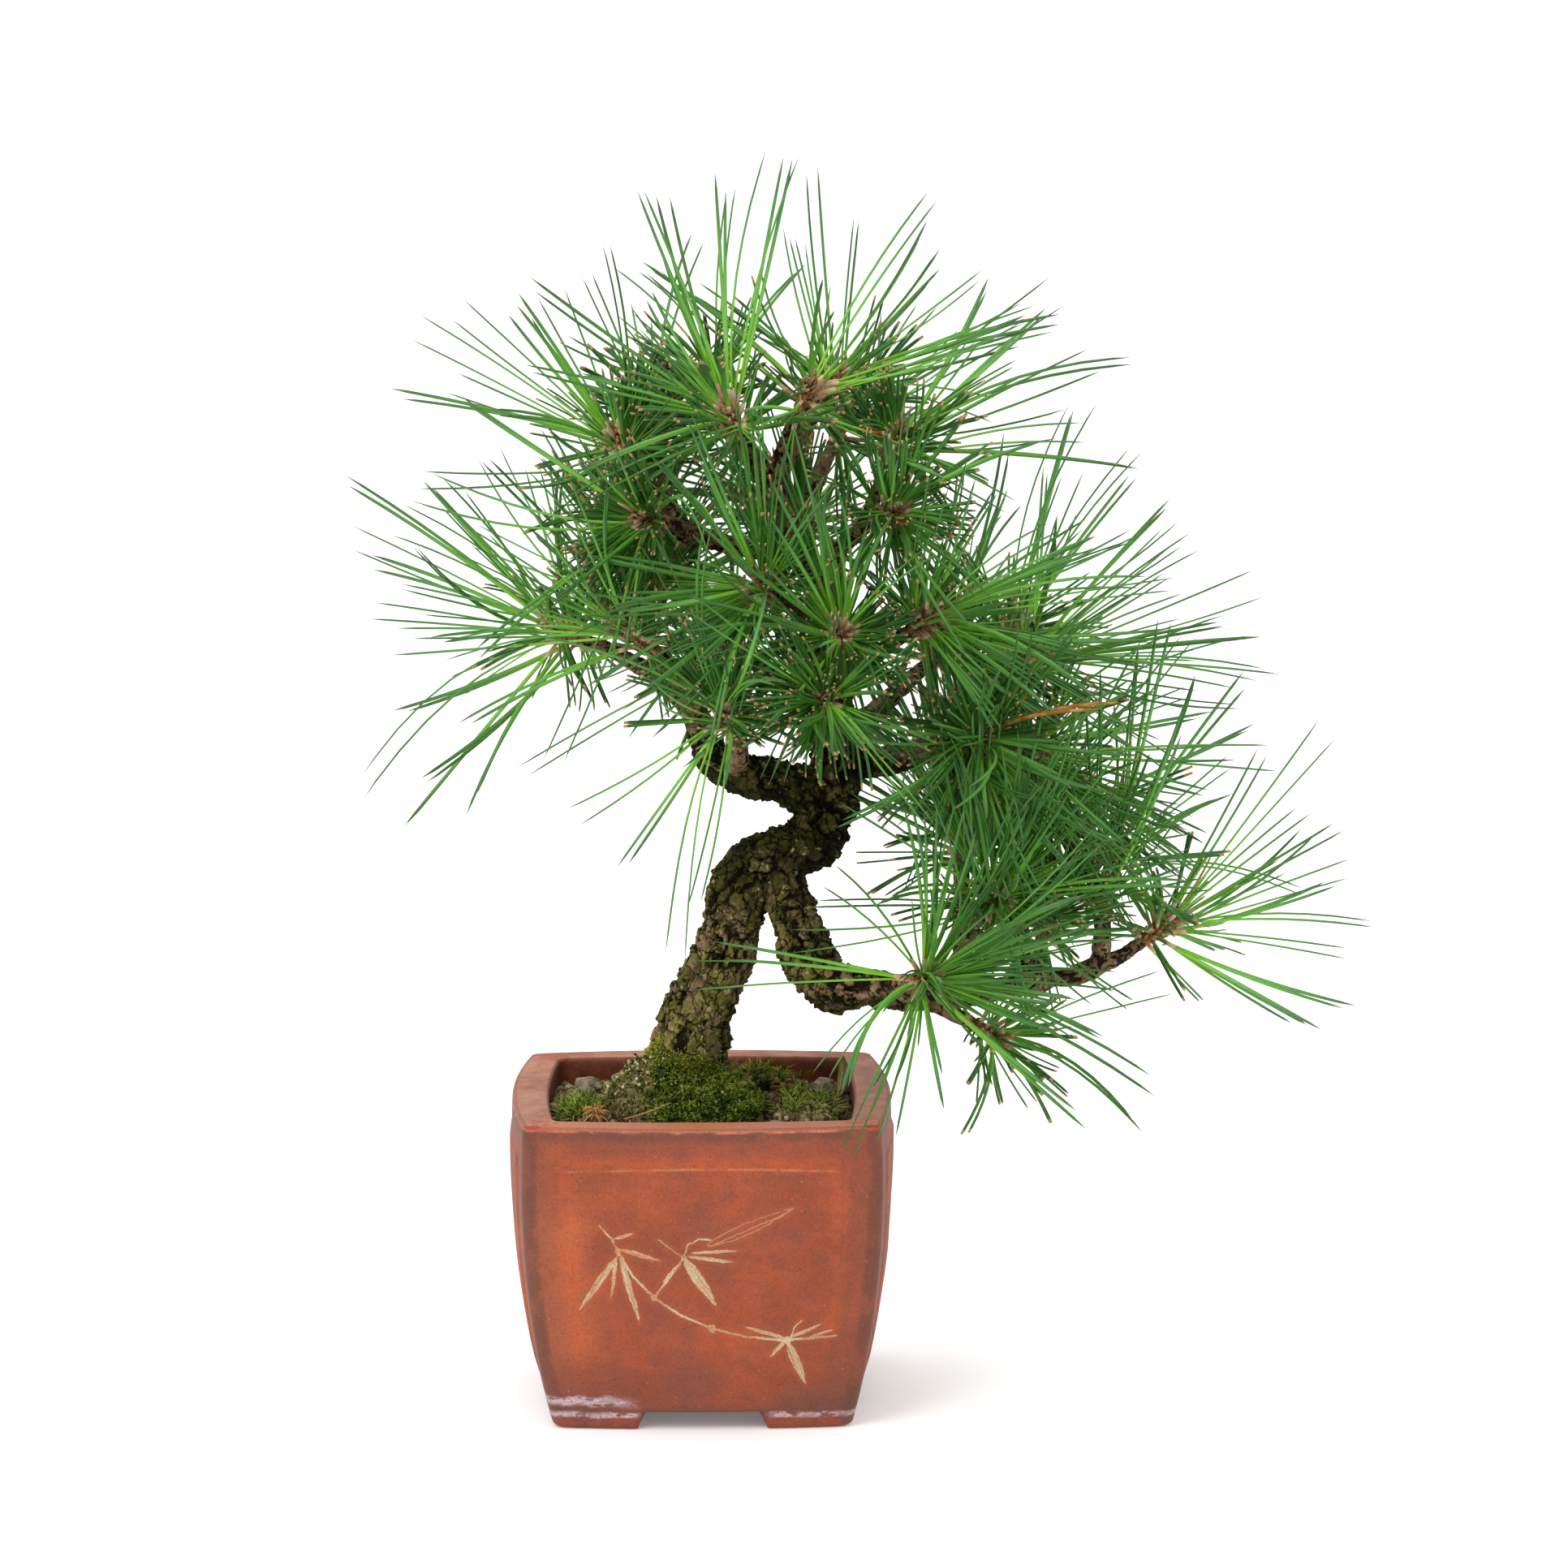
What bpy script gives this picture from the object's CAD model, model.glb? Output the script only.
"""A potted pine bonsai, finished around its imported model: clay pot, soil, moss, wood, needles and small litter.

Everything is in metres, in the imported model's own frame, unless a line says millimetres.
"""

import math

import bmesh
import bpy
import numpy as np
from mathutils import Euler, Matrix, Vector


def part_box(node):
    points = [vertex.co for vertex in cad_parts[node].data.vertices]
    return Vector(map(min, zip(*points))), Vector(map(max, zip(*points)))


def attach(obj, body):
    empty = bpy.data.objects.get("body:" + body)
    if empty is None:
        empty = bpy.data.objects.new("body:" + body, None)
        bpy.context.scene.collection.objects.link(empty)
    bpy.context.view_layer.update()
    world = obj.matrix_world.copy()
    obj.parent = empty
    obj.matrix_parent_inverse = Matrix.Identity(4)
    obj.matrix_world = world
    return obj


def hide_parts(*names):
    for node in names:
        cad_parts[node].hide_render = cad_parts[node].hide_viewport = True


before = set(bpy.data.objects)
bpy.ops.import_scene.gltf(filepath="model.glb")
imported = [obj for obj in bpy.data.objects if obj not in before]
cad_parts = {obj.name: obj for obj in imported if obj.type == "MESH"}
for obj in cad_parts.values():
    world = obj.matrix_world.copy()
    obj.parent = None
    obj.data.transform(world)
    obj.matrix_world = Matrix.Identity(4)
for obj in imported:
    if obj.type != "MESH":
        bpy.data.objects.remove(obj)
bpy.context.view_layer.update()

MM = 0.001
SEED = 5


def box_of(node):
    """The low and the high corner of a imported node's box."""
    return [np.array(corner[:]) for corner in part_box(node)]


# The pot's middle on the table.
MIDDLE = sum(box_of("pot")) / 2 * [1, 1, 0]

# Pot, as it was thrown and pressed.
POT_WIDTH = 0.1246
POT_HEIGHT = 0.102
WIDEST_HEIGHT = 0.089
TAPER = 0.0115
RIM_BULGE, FOOT_BULGE = 0.0045, 0.0025
# The inside is bowed by this share of the outside's bulge.
INNER_BOW = 0.5
CORNER_RADIUS = 0.004
RIM_WIDTH = 0.012
RIM_ROUNDING = 0.0011
FLOOR_TOP = 0.015
FOOT_HEIGHT, FOOT_GAP_HALF, FOOT_GAP_FLARE = 0.006, 0.018, 0.003
BASE_ROUNDING = 0.0022
DRAIN_HOLE_RADIUS = 0.009
PANEL_HALF = 0.82
PANEL_LOW, PANEL_HIGH, PANEL_RAISE, PANEL_EDGE = 0.019, 0.0895, 0.0007, 0.0016
# The foot arch fades out of the outside's rings over this height.
ARCH_FADE = 0.014
# Heights that the drawing lies between, where the rings are closest.
SPRIG_LOW, SPRIG_HIGH = 0.0145, 0.0775

SOIL_LEVEL = 0.0935
SOIL_MOUND, SOIL_MOUND_SPREAD, SOIL_BACK_DROP = 0.007, 0.030, 0.0015
INNER_HALF = POT_WIDTH / 2 - RIM_WIDTH
TRUNK_X = -0.007
FOOT = MIDDLE + [TRUNK_X, 0.0, SOIL_LEVEL]
# Farther than anything on the model, for distances that must never count.
FAR = 1e3
# A direction that no branch or shoot follows.
OBLIQUE = [0.31, 0.87, 0.38]


# ---------------------------------------------------------------- numbers in space


def smooth(value, low, high):
    """0 below low, 1 above high, and the cubic 3t^2 - 2t^3 between them."""
    t = np.clip((value - low) / (high - low), 0.0, 1.0)
    return t * t * (3 - 2 * t)


def unit(vectors):
    """The vectors at length 1."""
    return vectors / np.maximum(np.linalg.norm(vectors, axis=-1, keepdims=True), 1e-12)


def scatter(cell, seed):
    """A repeatable number from 0 to 1 for each whole cell: its coordinates times odd primes, then bit mixing."""
    whole = cell.astype(np.int64).astype(np.uint32)
    mixed = whole[..., 0] * np.uint32(0x8DA6B343) + whole[..., 1] * np.uint32(0xD8163841)
    mixed = mixed + whole[..., 2] * np.uint32(0xCB1AB31F) + np.uint32((seed * 0x9E3779B9) & 0xFFFFFFFF)
    for shift, factor in ((15, 0x2C1B3C6D), (12, 0x297A2D39)):
        mixed = (mixed ^ (mixed >> np.uint32(shift))) * np.uint32(factor)
    return (mixed ^ (mixed >> np.uint32(15))) / 2.0**32


def waver(points, seed):
    """Value noise from -1 to 1: the eight corners of each unit cell, blended by a cubic of the place in it."""
    base = np.floor(points)
    part = points - base
    part = part * part * (3 - 2 * part)
    total = 0.0
    for corner in np.ndindex(2, 2, 2):
        weight = np.prod(np.where(corner, part, 1 - part), axis=-1)
        total = total + weight * scatter(base + corner, seed)
    return 2 * total - 1


def rough(points, octaves, seed):
    """Sum of value noise, each octave at twice the frequency and half the height of the last."""
    return sum(waver(points * 2.0**k, seed + k) * 0.5**k for k in range(octaves))


def cells(points, seed):
    """(distance to the nearest scattered point, to the second nearest, a number from 0 to 1 for the nearest)."""
    base = np.floor(points)
    first = np.full(points.shape[:-1], 9.0)
    second = first.copy()
    name = first.copy()
    for step in np.ndindex(3, 3, 3):
        cell = base + np.array(step) - 1
        jitter = np.stack([scatter(cell, seed + 17 * axis) for axis in (1, 2, 3)], axis=-1)
        apart = np.linalg.norm(cell + jitter - points, axis=-1)
        closer = apart < first
        second = np.where(closer, first, np.minimum(second, apart))
        name = np.where(closer, scatter(cell, seed + 91), name)
        first = np.where(closer, apart, first)
    return first, second, name


# ---------------------------------------------------------------- meshes


def grid_quads(rows, columns, wrap_rows=False):
    """Quads between neighbouring points of a grid of closed rows, numbered row after row."""
    r = np.arange(rows if wrap_rows else rows - 1)[:, None]
    c = np.arange(columns)[None, :]
    r1, c1 = (r + 1) % rows, (c + 1) % columns
    return np.stack([r * columns + c, r * columns + c1, r1 * columns + c1, r1 * columns + c], axis=-1).reshape(-1, 4)


def cap_quads(ring):
    """A strip of quads that closes a ring of an even number of points."""
    count = len(ring)
    return np.array([[ring[i], ring[i + 1], ring[count - 2 - i], ring[count - 1 - i]] for i in range(count // 2 - 1)])


def tube_quads(rings, sides):
    """Quads of one tube of rings by sides points, closed at both ends."""
    near = cap_quads(np.arange(sides)[::-1])
    far = cap_quads(np.arange((rings - 1) * sides, rings * sides))
    return np.concatenate([grid_quads(rings, sides), near, far])


def repeated(faces, points_each, many):
    """The same faces for each of many equal runs of points."""
    return (faces[None] + (np.arange(many) * points_each)[:, None, None]).reshape(-1, faces.shape[1])


def volume(points, faces):
    """Signed volume: the sum of the tetrahedra from the points' middle to each triangle."""
    a = points[faces[:, 0]] - points.mean(axis=0)
    total = 0.0
    for k in range(1, faces.shape[1] - 1):
        b, c = points[faces[:, k]] - points.mean(axis=0), points[faces[:, k + 1]] - points.mean(axis=0)
        total += np.einsum("ij,ij->", a, np.cross(b, c))
    return total / 6


def placed(name, data):
    """A new object in the scene that carries the data."""
    made = bpy.data.objects.new(name, data)
    bpy.context.scene.collection.objects.link(made)
    return made


def new_piece(name, parts, materials, stands_for=(), shade_angle=None):
    """One mesh object from parts, each a dict: points, faces, material (its number) and values by name.

    A value is one number, or numbers that broadcast to the points.
    """
    runs = [part["points"].reshape(-1, 3) for part in parts]
    points = np.concatenate(runs)
    corners, sizes, indices, start = [], [], [], 0
    for part, run in zip(parts, runs):
        faces = part["faces"]
        if volume(run, faces) < 0:
            faces = faces[:, ::-1]
        corners.append((faces + start).ravel())
        sizes.append(np.full(len(faces), faces.shape[1]))
        indices.append(np.full(len(faces), part.get("material", 0)))
        start += len(run)
    corners, sizes, indices = (np.concatenate(listed) for listed in (corners, sizes, indices))
    mesh = bpy.data.meshes.new(name)
    mesh.vertices.add(len(points))
    mesh.vertices.foreach_set("co", points.astype(np.float32).ravel())
    mesh.loops.add(len(corners))
    mesh.loops.foreach_set("vertex_index", corners.astype(np.int32))
    mesh.polygons.add(len(sizes))
    mesh.polygons.foreach_set("loop_start", np.concatenate([[0], np.cumsum(sizes)[:-1]]).astype(np.int32))
    mesh.polygons.foreach_set("material_index", indices.astype(np.int32))
    mesh.update(calc_edges=True)
    for value in sorted({key for part in parts for key in part} - {"points", "faces", "material"}):
        column = [np.broadcast_to(part.get(value, 0.0), part["points"].shape[:-1]).ravel() for part in parts]
        layer = mesh.attributes.new(value, "FLOAT", "POINT")
        layer.data.foreach_set("value", np.concatenate(column).astype(np.float32))
    for material in materials:
        mesh.materials.append(material)
    mesh.shade_smooth()
    if shade_angle is not None:
        mesh.set_sharp_from_angle(angle=shade_angle)
    piece = placed(name, mesh)
    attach(piece, "root")
    if stands_for:
        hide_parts(*stands_for)
    return piece


def tubes(centres, across, up, wide, high, low=None, sides=4):
    """Points of many tubes at once, shaped (tubes, rings, sides, 3).

    A ring's points are centre + wide cos(a) across + high sin(a) up, with low in place of high below the middle.
    """
    angle = np.arange(sides) * math.tau / sides
    c, s = np.cos(angle), np.sin(angle)
    tall = high[..., None] * np.maximum(s, 0) + (high if low is None else low)[..., None] * np.minimum(s, 0)
    flat = wide[..., None] * c
    return centres[..., None, :] + flat[..., None] * across[..., None, :] + tall[..., None] * up[..., None, :]


def mesh_arrays(mesh):
    """(points, the point number of every face corner) of a mesh."""
    points = np.empty(len(mesh.vertices) * 3, np.float32)
    mesh.vertices.foreach_get("co", points)
    corners = np.empty(len(mesh.loops), np.int32)
    mesh.loops.foreach_get("vertex_index", corners)
    return points.reshape(-1, 3).astype(float), corners


def ball(subdivisions):
    """Points and triangles of a unit icosphere."""
    made = bmesh.new()
    bmesh.ops.create_icosphere(made, subdivisions=subdivisions, radius=1.0)
    points = np.array([v.co[:] for v in made.verts])
    faces = np.array([[v.index for v in f.verts] for f in made.faces])
    made.free()
    return points, faces


def turned(count, rng):
    """Random turns, as (count, 3, 3) matrices with unit columns at right angles."""
    first = unit(rng.normal(size=(count, 3)))
    second = unit(np.cross(first, rng.normal(size=(count, 3))))
    return np.stack([first, second, np.cross(first, second)], axis=-1)


# ---------------------------------------------------------------- materials


# The room's light: a surface looks this many times as bright as its own colour.
ROOM_LIGHT = 1.3


def linear(code):
    """Linear RGBA of the surface that looks like a six-digit sRGB colour code in the room's light."""
    values = [int(code[i : i + 2], 16) / 255 for i in (0, 2, 4)]
    return (*[(v / 12.92 if v <= 0.04045 else ((v + 0.055) / 1.055) ** 2.4) / ROOM_LIGHT for v in values], 1.0)


class Field:
    """A socket whose arithmetic adds Math nodes to its material."""

    def __init__(self, finish, socket):
        self.finish, self.socket = finish, socket

    def math(self, operation, *others):
        return self.finish.node("ShaderNodeMath", {"operation": operation}, dict(enumerate(others)))

    def __add__(self, other):
        return self.math("ADD", self, other)

    def __sub__(self, other):
        return self.math("SUBTRACT", self, other)

    def __rsub__(self, other):
        return self.math("SUBTRACT", other, self)

    def __mul__(self, other):
        return self.math("MULTIPLY", self, other)

    def __abs__(self):
        return self.math("ABSOLUTE", self)

    __radd__, __rmul__ = __add__, __mul__

    def at_least(self, other):
        return self.math("MAXIMUM", self, other)

    def at_most(self, other):
        return self.math("MINIMUM", self, other)

    def rise(self, low, high):
        """0 below low and 1 above high, smooth between; the other way round when low is above high."""
        sockets = {"Value": self, "From Min": low, "From Max": high}
        return self.finish.node("ShaderNodeMapRange", {"interpolation_type": "SMOOTHSTEP"}, sockets)


class Finish:
    """A material around one Principled shader, with short ways to add the nodes that feed it."""

    def __init__(self, name, specular=0.2, **constants):
        self.material = bpy.data.materials.new(name)
        self.material.use_nodes = True
        self.tree = self.material.node_tree
        self.shader = self.tree.nodes["Principled BSDF"]
        for socket, value in {"Specular_IOR_Level": specular, **constants}.items():
            self.shader.inputs[socket.replace("_", " ")].default_value = value

    def node(self, kind, settings, sockets, output=0):
        """One output of a new node. Settings are its own, sockets its inputs, and text there is a colour code."""
        made = self.tree.nodes.new(kind)
        for key, value in settings.items():
            if key == "stops":
                stops = made.color_ramp.elements
                while len(stops) < len(value):
                    stops.new(1.0)
                for stop, (place, colour) in zip(stops, value):
                    stop.position, stop.color = place, linear(colour)
            else:
                setattr(made, key, value)
        for key, value in sockets.items():
            if isinstance(value, Field):
                self.tree.links.new(value.socket, made.inputs[key])
            else:
                made.inputs[key].default_value = linear(value) if isinstance(value, str) else value
        return Field(self, made.outputs[output])

    def place(self, stretch=(1.0, 1.0, 1.0), shift=(0.0, 0.0, 0.0)):
        """Object coordinates in millimetres, stretched and shifted."""
        where = self.node("ShaderNodeTexCoord", {}, {}, "Object")
        scale = tuple(1000.0 * s for s in stretch)
        return self.node("ShaderNodeMapping", {}, {"Vector": where, "Scale": scale, "Location": shift})

    def axis(self, number):
        """The object coordinate of this number, 0 to 2, in millimetres."""
        return self.node("ShaderNodeSeparateXYZ", {}, {0: self.place()}, number)

    def value(self, name):
        """A value that the mesh itself carries."""
        return self.node("ShaderNodeAttribute", {"attribute_name": name}, {}, "Fac")

    def values(self, names):
        return [self.value(name) for name in names.split()]

    def noise(self, size, detail=3.0, stretch=(1.0, 1.0, 1.0), shift=0.0, roughness=0.55):
        """Noise from 0 to 1 whose features are about size millimetres across."""
        where = self.place(stretch, (shift, shift, shift))
        sockets = {"Vector": where, "Scale": 1.0 / size, "Detail": detail, "Roughness": roughness}
        return self.node("ShaderNodeTexNoise", {}, sockets)

    def voronoi(self, output, **sockets):
        return self.node("ShaderNodeTexVoronoi", {}, sockets, output)

    def specks(self, size, amount, stretch=(1.0, 1.0, 1.0), shift=0.0):
        """1 in small round spots, one to a cell of this size in millimetres, for this share of the cells."""
        sockets = {"Vector": self.place(stretch, (shift, shift, shift)), "Scale": 1.0 / size}
        chosen = self.node("ShaderNodeSeparateColor", {}, {0: self.voronoi("Color", **sockets)})
        return self.voronoi("Distance", **sockets).rise(0.30, 0.16) * chosen.rise(amount, amount * 0.8)

    def mix(self, factor, a, b):
        return self.node("ShaderNodeMix", {"data_type": "RGBA"}, {0: factor, 6: a, 7: b}, 2)

    def coats(self, body, *coats):
        """The body colour under coats, each a factor and a colour, one over the other."""
        for factor, colour in coats:
            body = self.mix(factor, body, colour)
        return body

    def ramp(self, factor, *stops):
        return self.node("ShaderNodeValToRGB", {"stops": stops}, {0: factor})

    def bump(self, height, depth):
        """A bump whose height from 0 to 1 stands for this many millimetres."""
        return self.node("ShaderNodeBump", {}, {"Height": height, "Distance": depth * MM, "Strength": 1.0})

    def wears(self, **fields):
        """Links the fields to the shader's sockets and returns the material."""
        for socket, field in fields.items():
            self.tree.links.new(field.socket, self.shader.inputs[socket.replace("_", " ")])
        return self.material


# ---------------------------------------------------------------- the sprig drawn on the pot's front

# A plain bamboo sprig scratched into the clay: strokes as (x, z) points in millimetres on the front, and their width.
SPRIG_STROKES = [
    (0.75, [(-27, 62), (-22.5, 54), (-15.5, 46.5), (-7, 40.5), (3, 36), (14, 33), (26, 31.6), (43, 32.6)]),
    (0.6, [(-27, 62), (-29, 66), (-33, 70.5)]),
    (0.7, [(-15.5, 46.5), (-11, 53), (-6, 60)]),
    (0.5, [(-6, 60), (-11, 63.5), (-14, 66)]),
    (0.45, [(-6, 60), (-5, 64.2), (-1, 66.2), (3.5, 66)]),
    (0.45, [(28, 31.6), (29.5, 36), (32, 38.4)]),
]
# Joints of the stem, as small blobs: (x, z, radius).
SPRIG_JOINTS = [(-27, 62, 0.9), (-15.5, 46.5, 1.2), (3, 36, 1.35), (27, 31.6, 1.2), (-6, 60, 0.9)]
# Leaves, each from its foot to its tip: (x0, z0, x1, z1, width, whether it is filled with white clay or only scored).
SPRIG_LEAVES = [
    (-27, 61, -40, 41.5, 2.2, True),
    (-26.5, 60, -20, 37.5, 2.1, True),
    (-27.5, 61, -29.5, 45.5, 1.2, True),
    (-27, 63, -12.5, 58.6, 1.4, True),
    (-29, 66, -21.5, 68.2, 1.0, True),
    (-6, 60, 4.5, 43.5, 3.6, True),
    (-6.5, 59, -13, 51.5, 1.1, True),
    (-5, 60.5, 11, 58.2, 1.3, True),
    (-4, 61.5, 13.5, 62.4, 1.0, True),
    (1.5, 64.0, 29, 76.0, 3.6, False),
    (27, 31.6, 33.5, 15.5, 2.9, True),
    (26.5, 31.4, 21.5, 25.8, 1.5, True),
    (26.5, 32.4, 12.5, 36.6, 1.3, True),
    (28, 32.4, 38.5, 37.0, 1.2, True),
    (33, 32, 43, 35.2, 0.9, True),
]


def stroke_distance(x, z, points):
    """Distance in the plane to a line of points: the least, over its spans, of the distance to each span."""
    points = np.array(points, float)
    least = np.full(x.shape, FAR)
    for (ax, az), (bx, bz) in zip(points, points[1:]):
        dx, dz = bx - ax, bz - az
        t = np.clip(((x - ax) * dx + (z - az) * dz) / (dx * dx + dz * dz), 0, 1)
        least = np.minimum(least, np.hypot(x - ax - t * dx, z - az - t * dz))
    return least


def leaf_distance(x, z, leaf):
    """(distance past a lance-shaped outline, place across the leaf).

    The outline's half width is a sine of the place along the leaf, fuller near its foot.
    """
    x0, z0, x1, z1, width = leaf
    length = math.hypot(x1 - x0, z1 - z0)
    ax, az = (x1 - x0) / length, (z1 - z0) / length
    along = ((x - x0) * ax + (z - z0) * az) / length
    across = (x - x0) * -az + (z - z0) * ax
    inside = np.clip(along, 0.0, 1.0)
    half = width / 2 * np.sin(math.pi * inside**0.8) ** 0.85
    beyond = np.maximum(np.maximum(-along, along - 1), 0) * length
    return np.hypot(np.maximum(np.abs(across) - half, 0), beyond) - np.maximum(half - np.abs(across), 0), across


def drawn_sprig(x, z):
    """(distance to the white clay, distance to any scratch, place across the nearest leaf), in millimetres."""
    shake = np.stack([x * 0.9, z * 0.9, np.zeros_like(x)], axis=-1)
    x, z = x + 0.22 * waver(shake, 3), z + 0.22 * waver(shake, 4)
    ink = np.full(x.shape, FAR)
    for width, points in SPRIG_STROKES:
        ink = np.minimum(ink, stroke_distance(x, z, points) - width / 2)
    for joint_x, joint_z, radius in SPRIG_JOINTS:
        ink = np.minimum(ink, np.hypot(x - joint_x, z - joint_z) - radius)
    scratch, across = ink, np.zeros_like(x)
    for *leaf, filled in SPRIG_LEAVES:
        away, side = leaf_distance(x, z, leaf)
        if not filled:
            away = np.minimum(np.abs(away), np.maximum(np.abs(side + 0.5), away)) - 0.20
        across = np.where(away < scratch, side, across)
        scratch = np.minimum(scratch, away)
        if filled:
            ink = np.minimum(ink, away)
    return ink, scratch, across


# ---------------------------------------------------------------- pot


def half_width(z):
    """Half the pot's width at height z: a parabola that is widest a little below the rim."""
    drop = (WIDEST_HEIGHT - z) / WIDEST_HEIGHT
    return POT_WIDTH / 2 - TAPER * drop * drop


def side_bulge(z):
    """How far a side's middle stands out past its ends at height z, from the foot's bulge to the rim's."""
    return FOOT_BULGE + (RIM_BULGE - FOOT_BULGE) * z / POT_HEIGHT


# Turns round a corner from a side's end, short of the next side's start.
CORNER_TURNS = np.radians([-75, -60, -45, -30, -15])
NO_TURN = -math.pi / 2


def pot_columns():
    """(side, place along it from -1 to 1, turn round the corner after it) of each column, front side first."""
    front = np.concatenate([np.linspace(-1, -0.9, 7)[:-1], np.linspace(-0.9, 0.9, 221), np.linspace(0.9, 1, 7)[1:]])
    other = np.concatenate([np.linspace(-1, -0.86, 5)[:-1], np.linspace(-0.86, -0.76, 7), np.linspace(-0.7, 0.7, 21)])
    other = np.concatenate([other, np.linspace(0.76, 0.86, 7), np.linspace(0.86, 1, 5)[1:]])
    return square_columns([front, other, other, other])


def square_columns(sides):
    """Columns for pillow(): the places along each of four sides, then five round its corner."""
    side = [np.full(len(places) + len(CORNER_TURNS), number) for number, places in enumerate(sides)]
    place = [np.append(places, np.ones(len(CORNER_TURNS))) for places in sides]
    turn = [np.append(np.full(len(places), NO_TURN), CORNER_TURNS) for places in sides]
    return np.concatenate(side), np.concatenate(place), np.concatenate(turn)


def pillow(columns, half, bulge, lift=0.0):
    """Plan of a square with bowed sides and round corners.

    A side's point is (place * reach, -(corner + bulge (1 - place^2) + lift)), and a corner is a quarter circle.
    half, bulge and lift may be arrays of one row per ring.
    """
    side, place, turn = columns
    corner = half - bulge
    reach = corner - CORNER_RADIUS
    x = place * reach + CORNER_RADIUS * np.cos(turn)
    y = -reach + CORNER_RADIUS * np.sin(turn) - np.where(turn > NO_TURN, 0, bulge * (1 - place**2) + lift)
    c, s = np.round(np.cos(side * math.pi / 2)), np.round(np.sin(side * math.pi / 2))
    return np.stack([x * c - y * s, x * s + y * c], axis=-1), place * reach


def inner_ring(columns, z, gap=0.0):
    """Plan of the pot's inside at height z, less a gap all round."""
    return pillow(columns, half_width(z) - RIM_WIDTH - gap, side_bulge(z) * INNER_BOW)[0]


def foot_arch(x, y):
    """Height of the underside: two flat-topped channels that cross between the four feet."""
    gap = [1 - np.clip((np.abs(v) - FOOT_GAP_HALF) / FOOT_GAP_FLARE, 0, 1) for v in (x, y)]
    return FOOT_HEIGHT * np.maximum(*gap)


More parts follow.
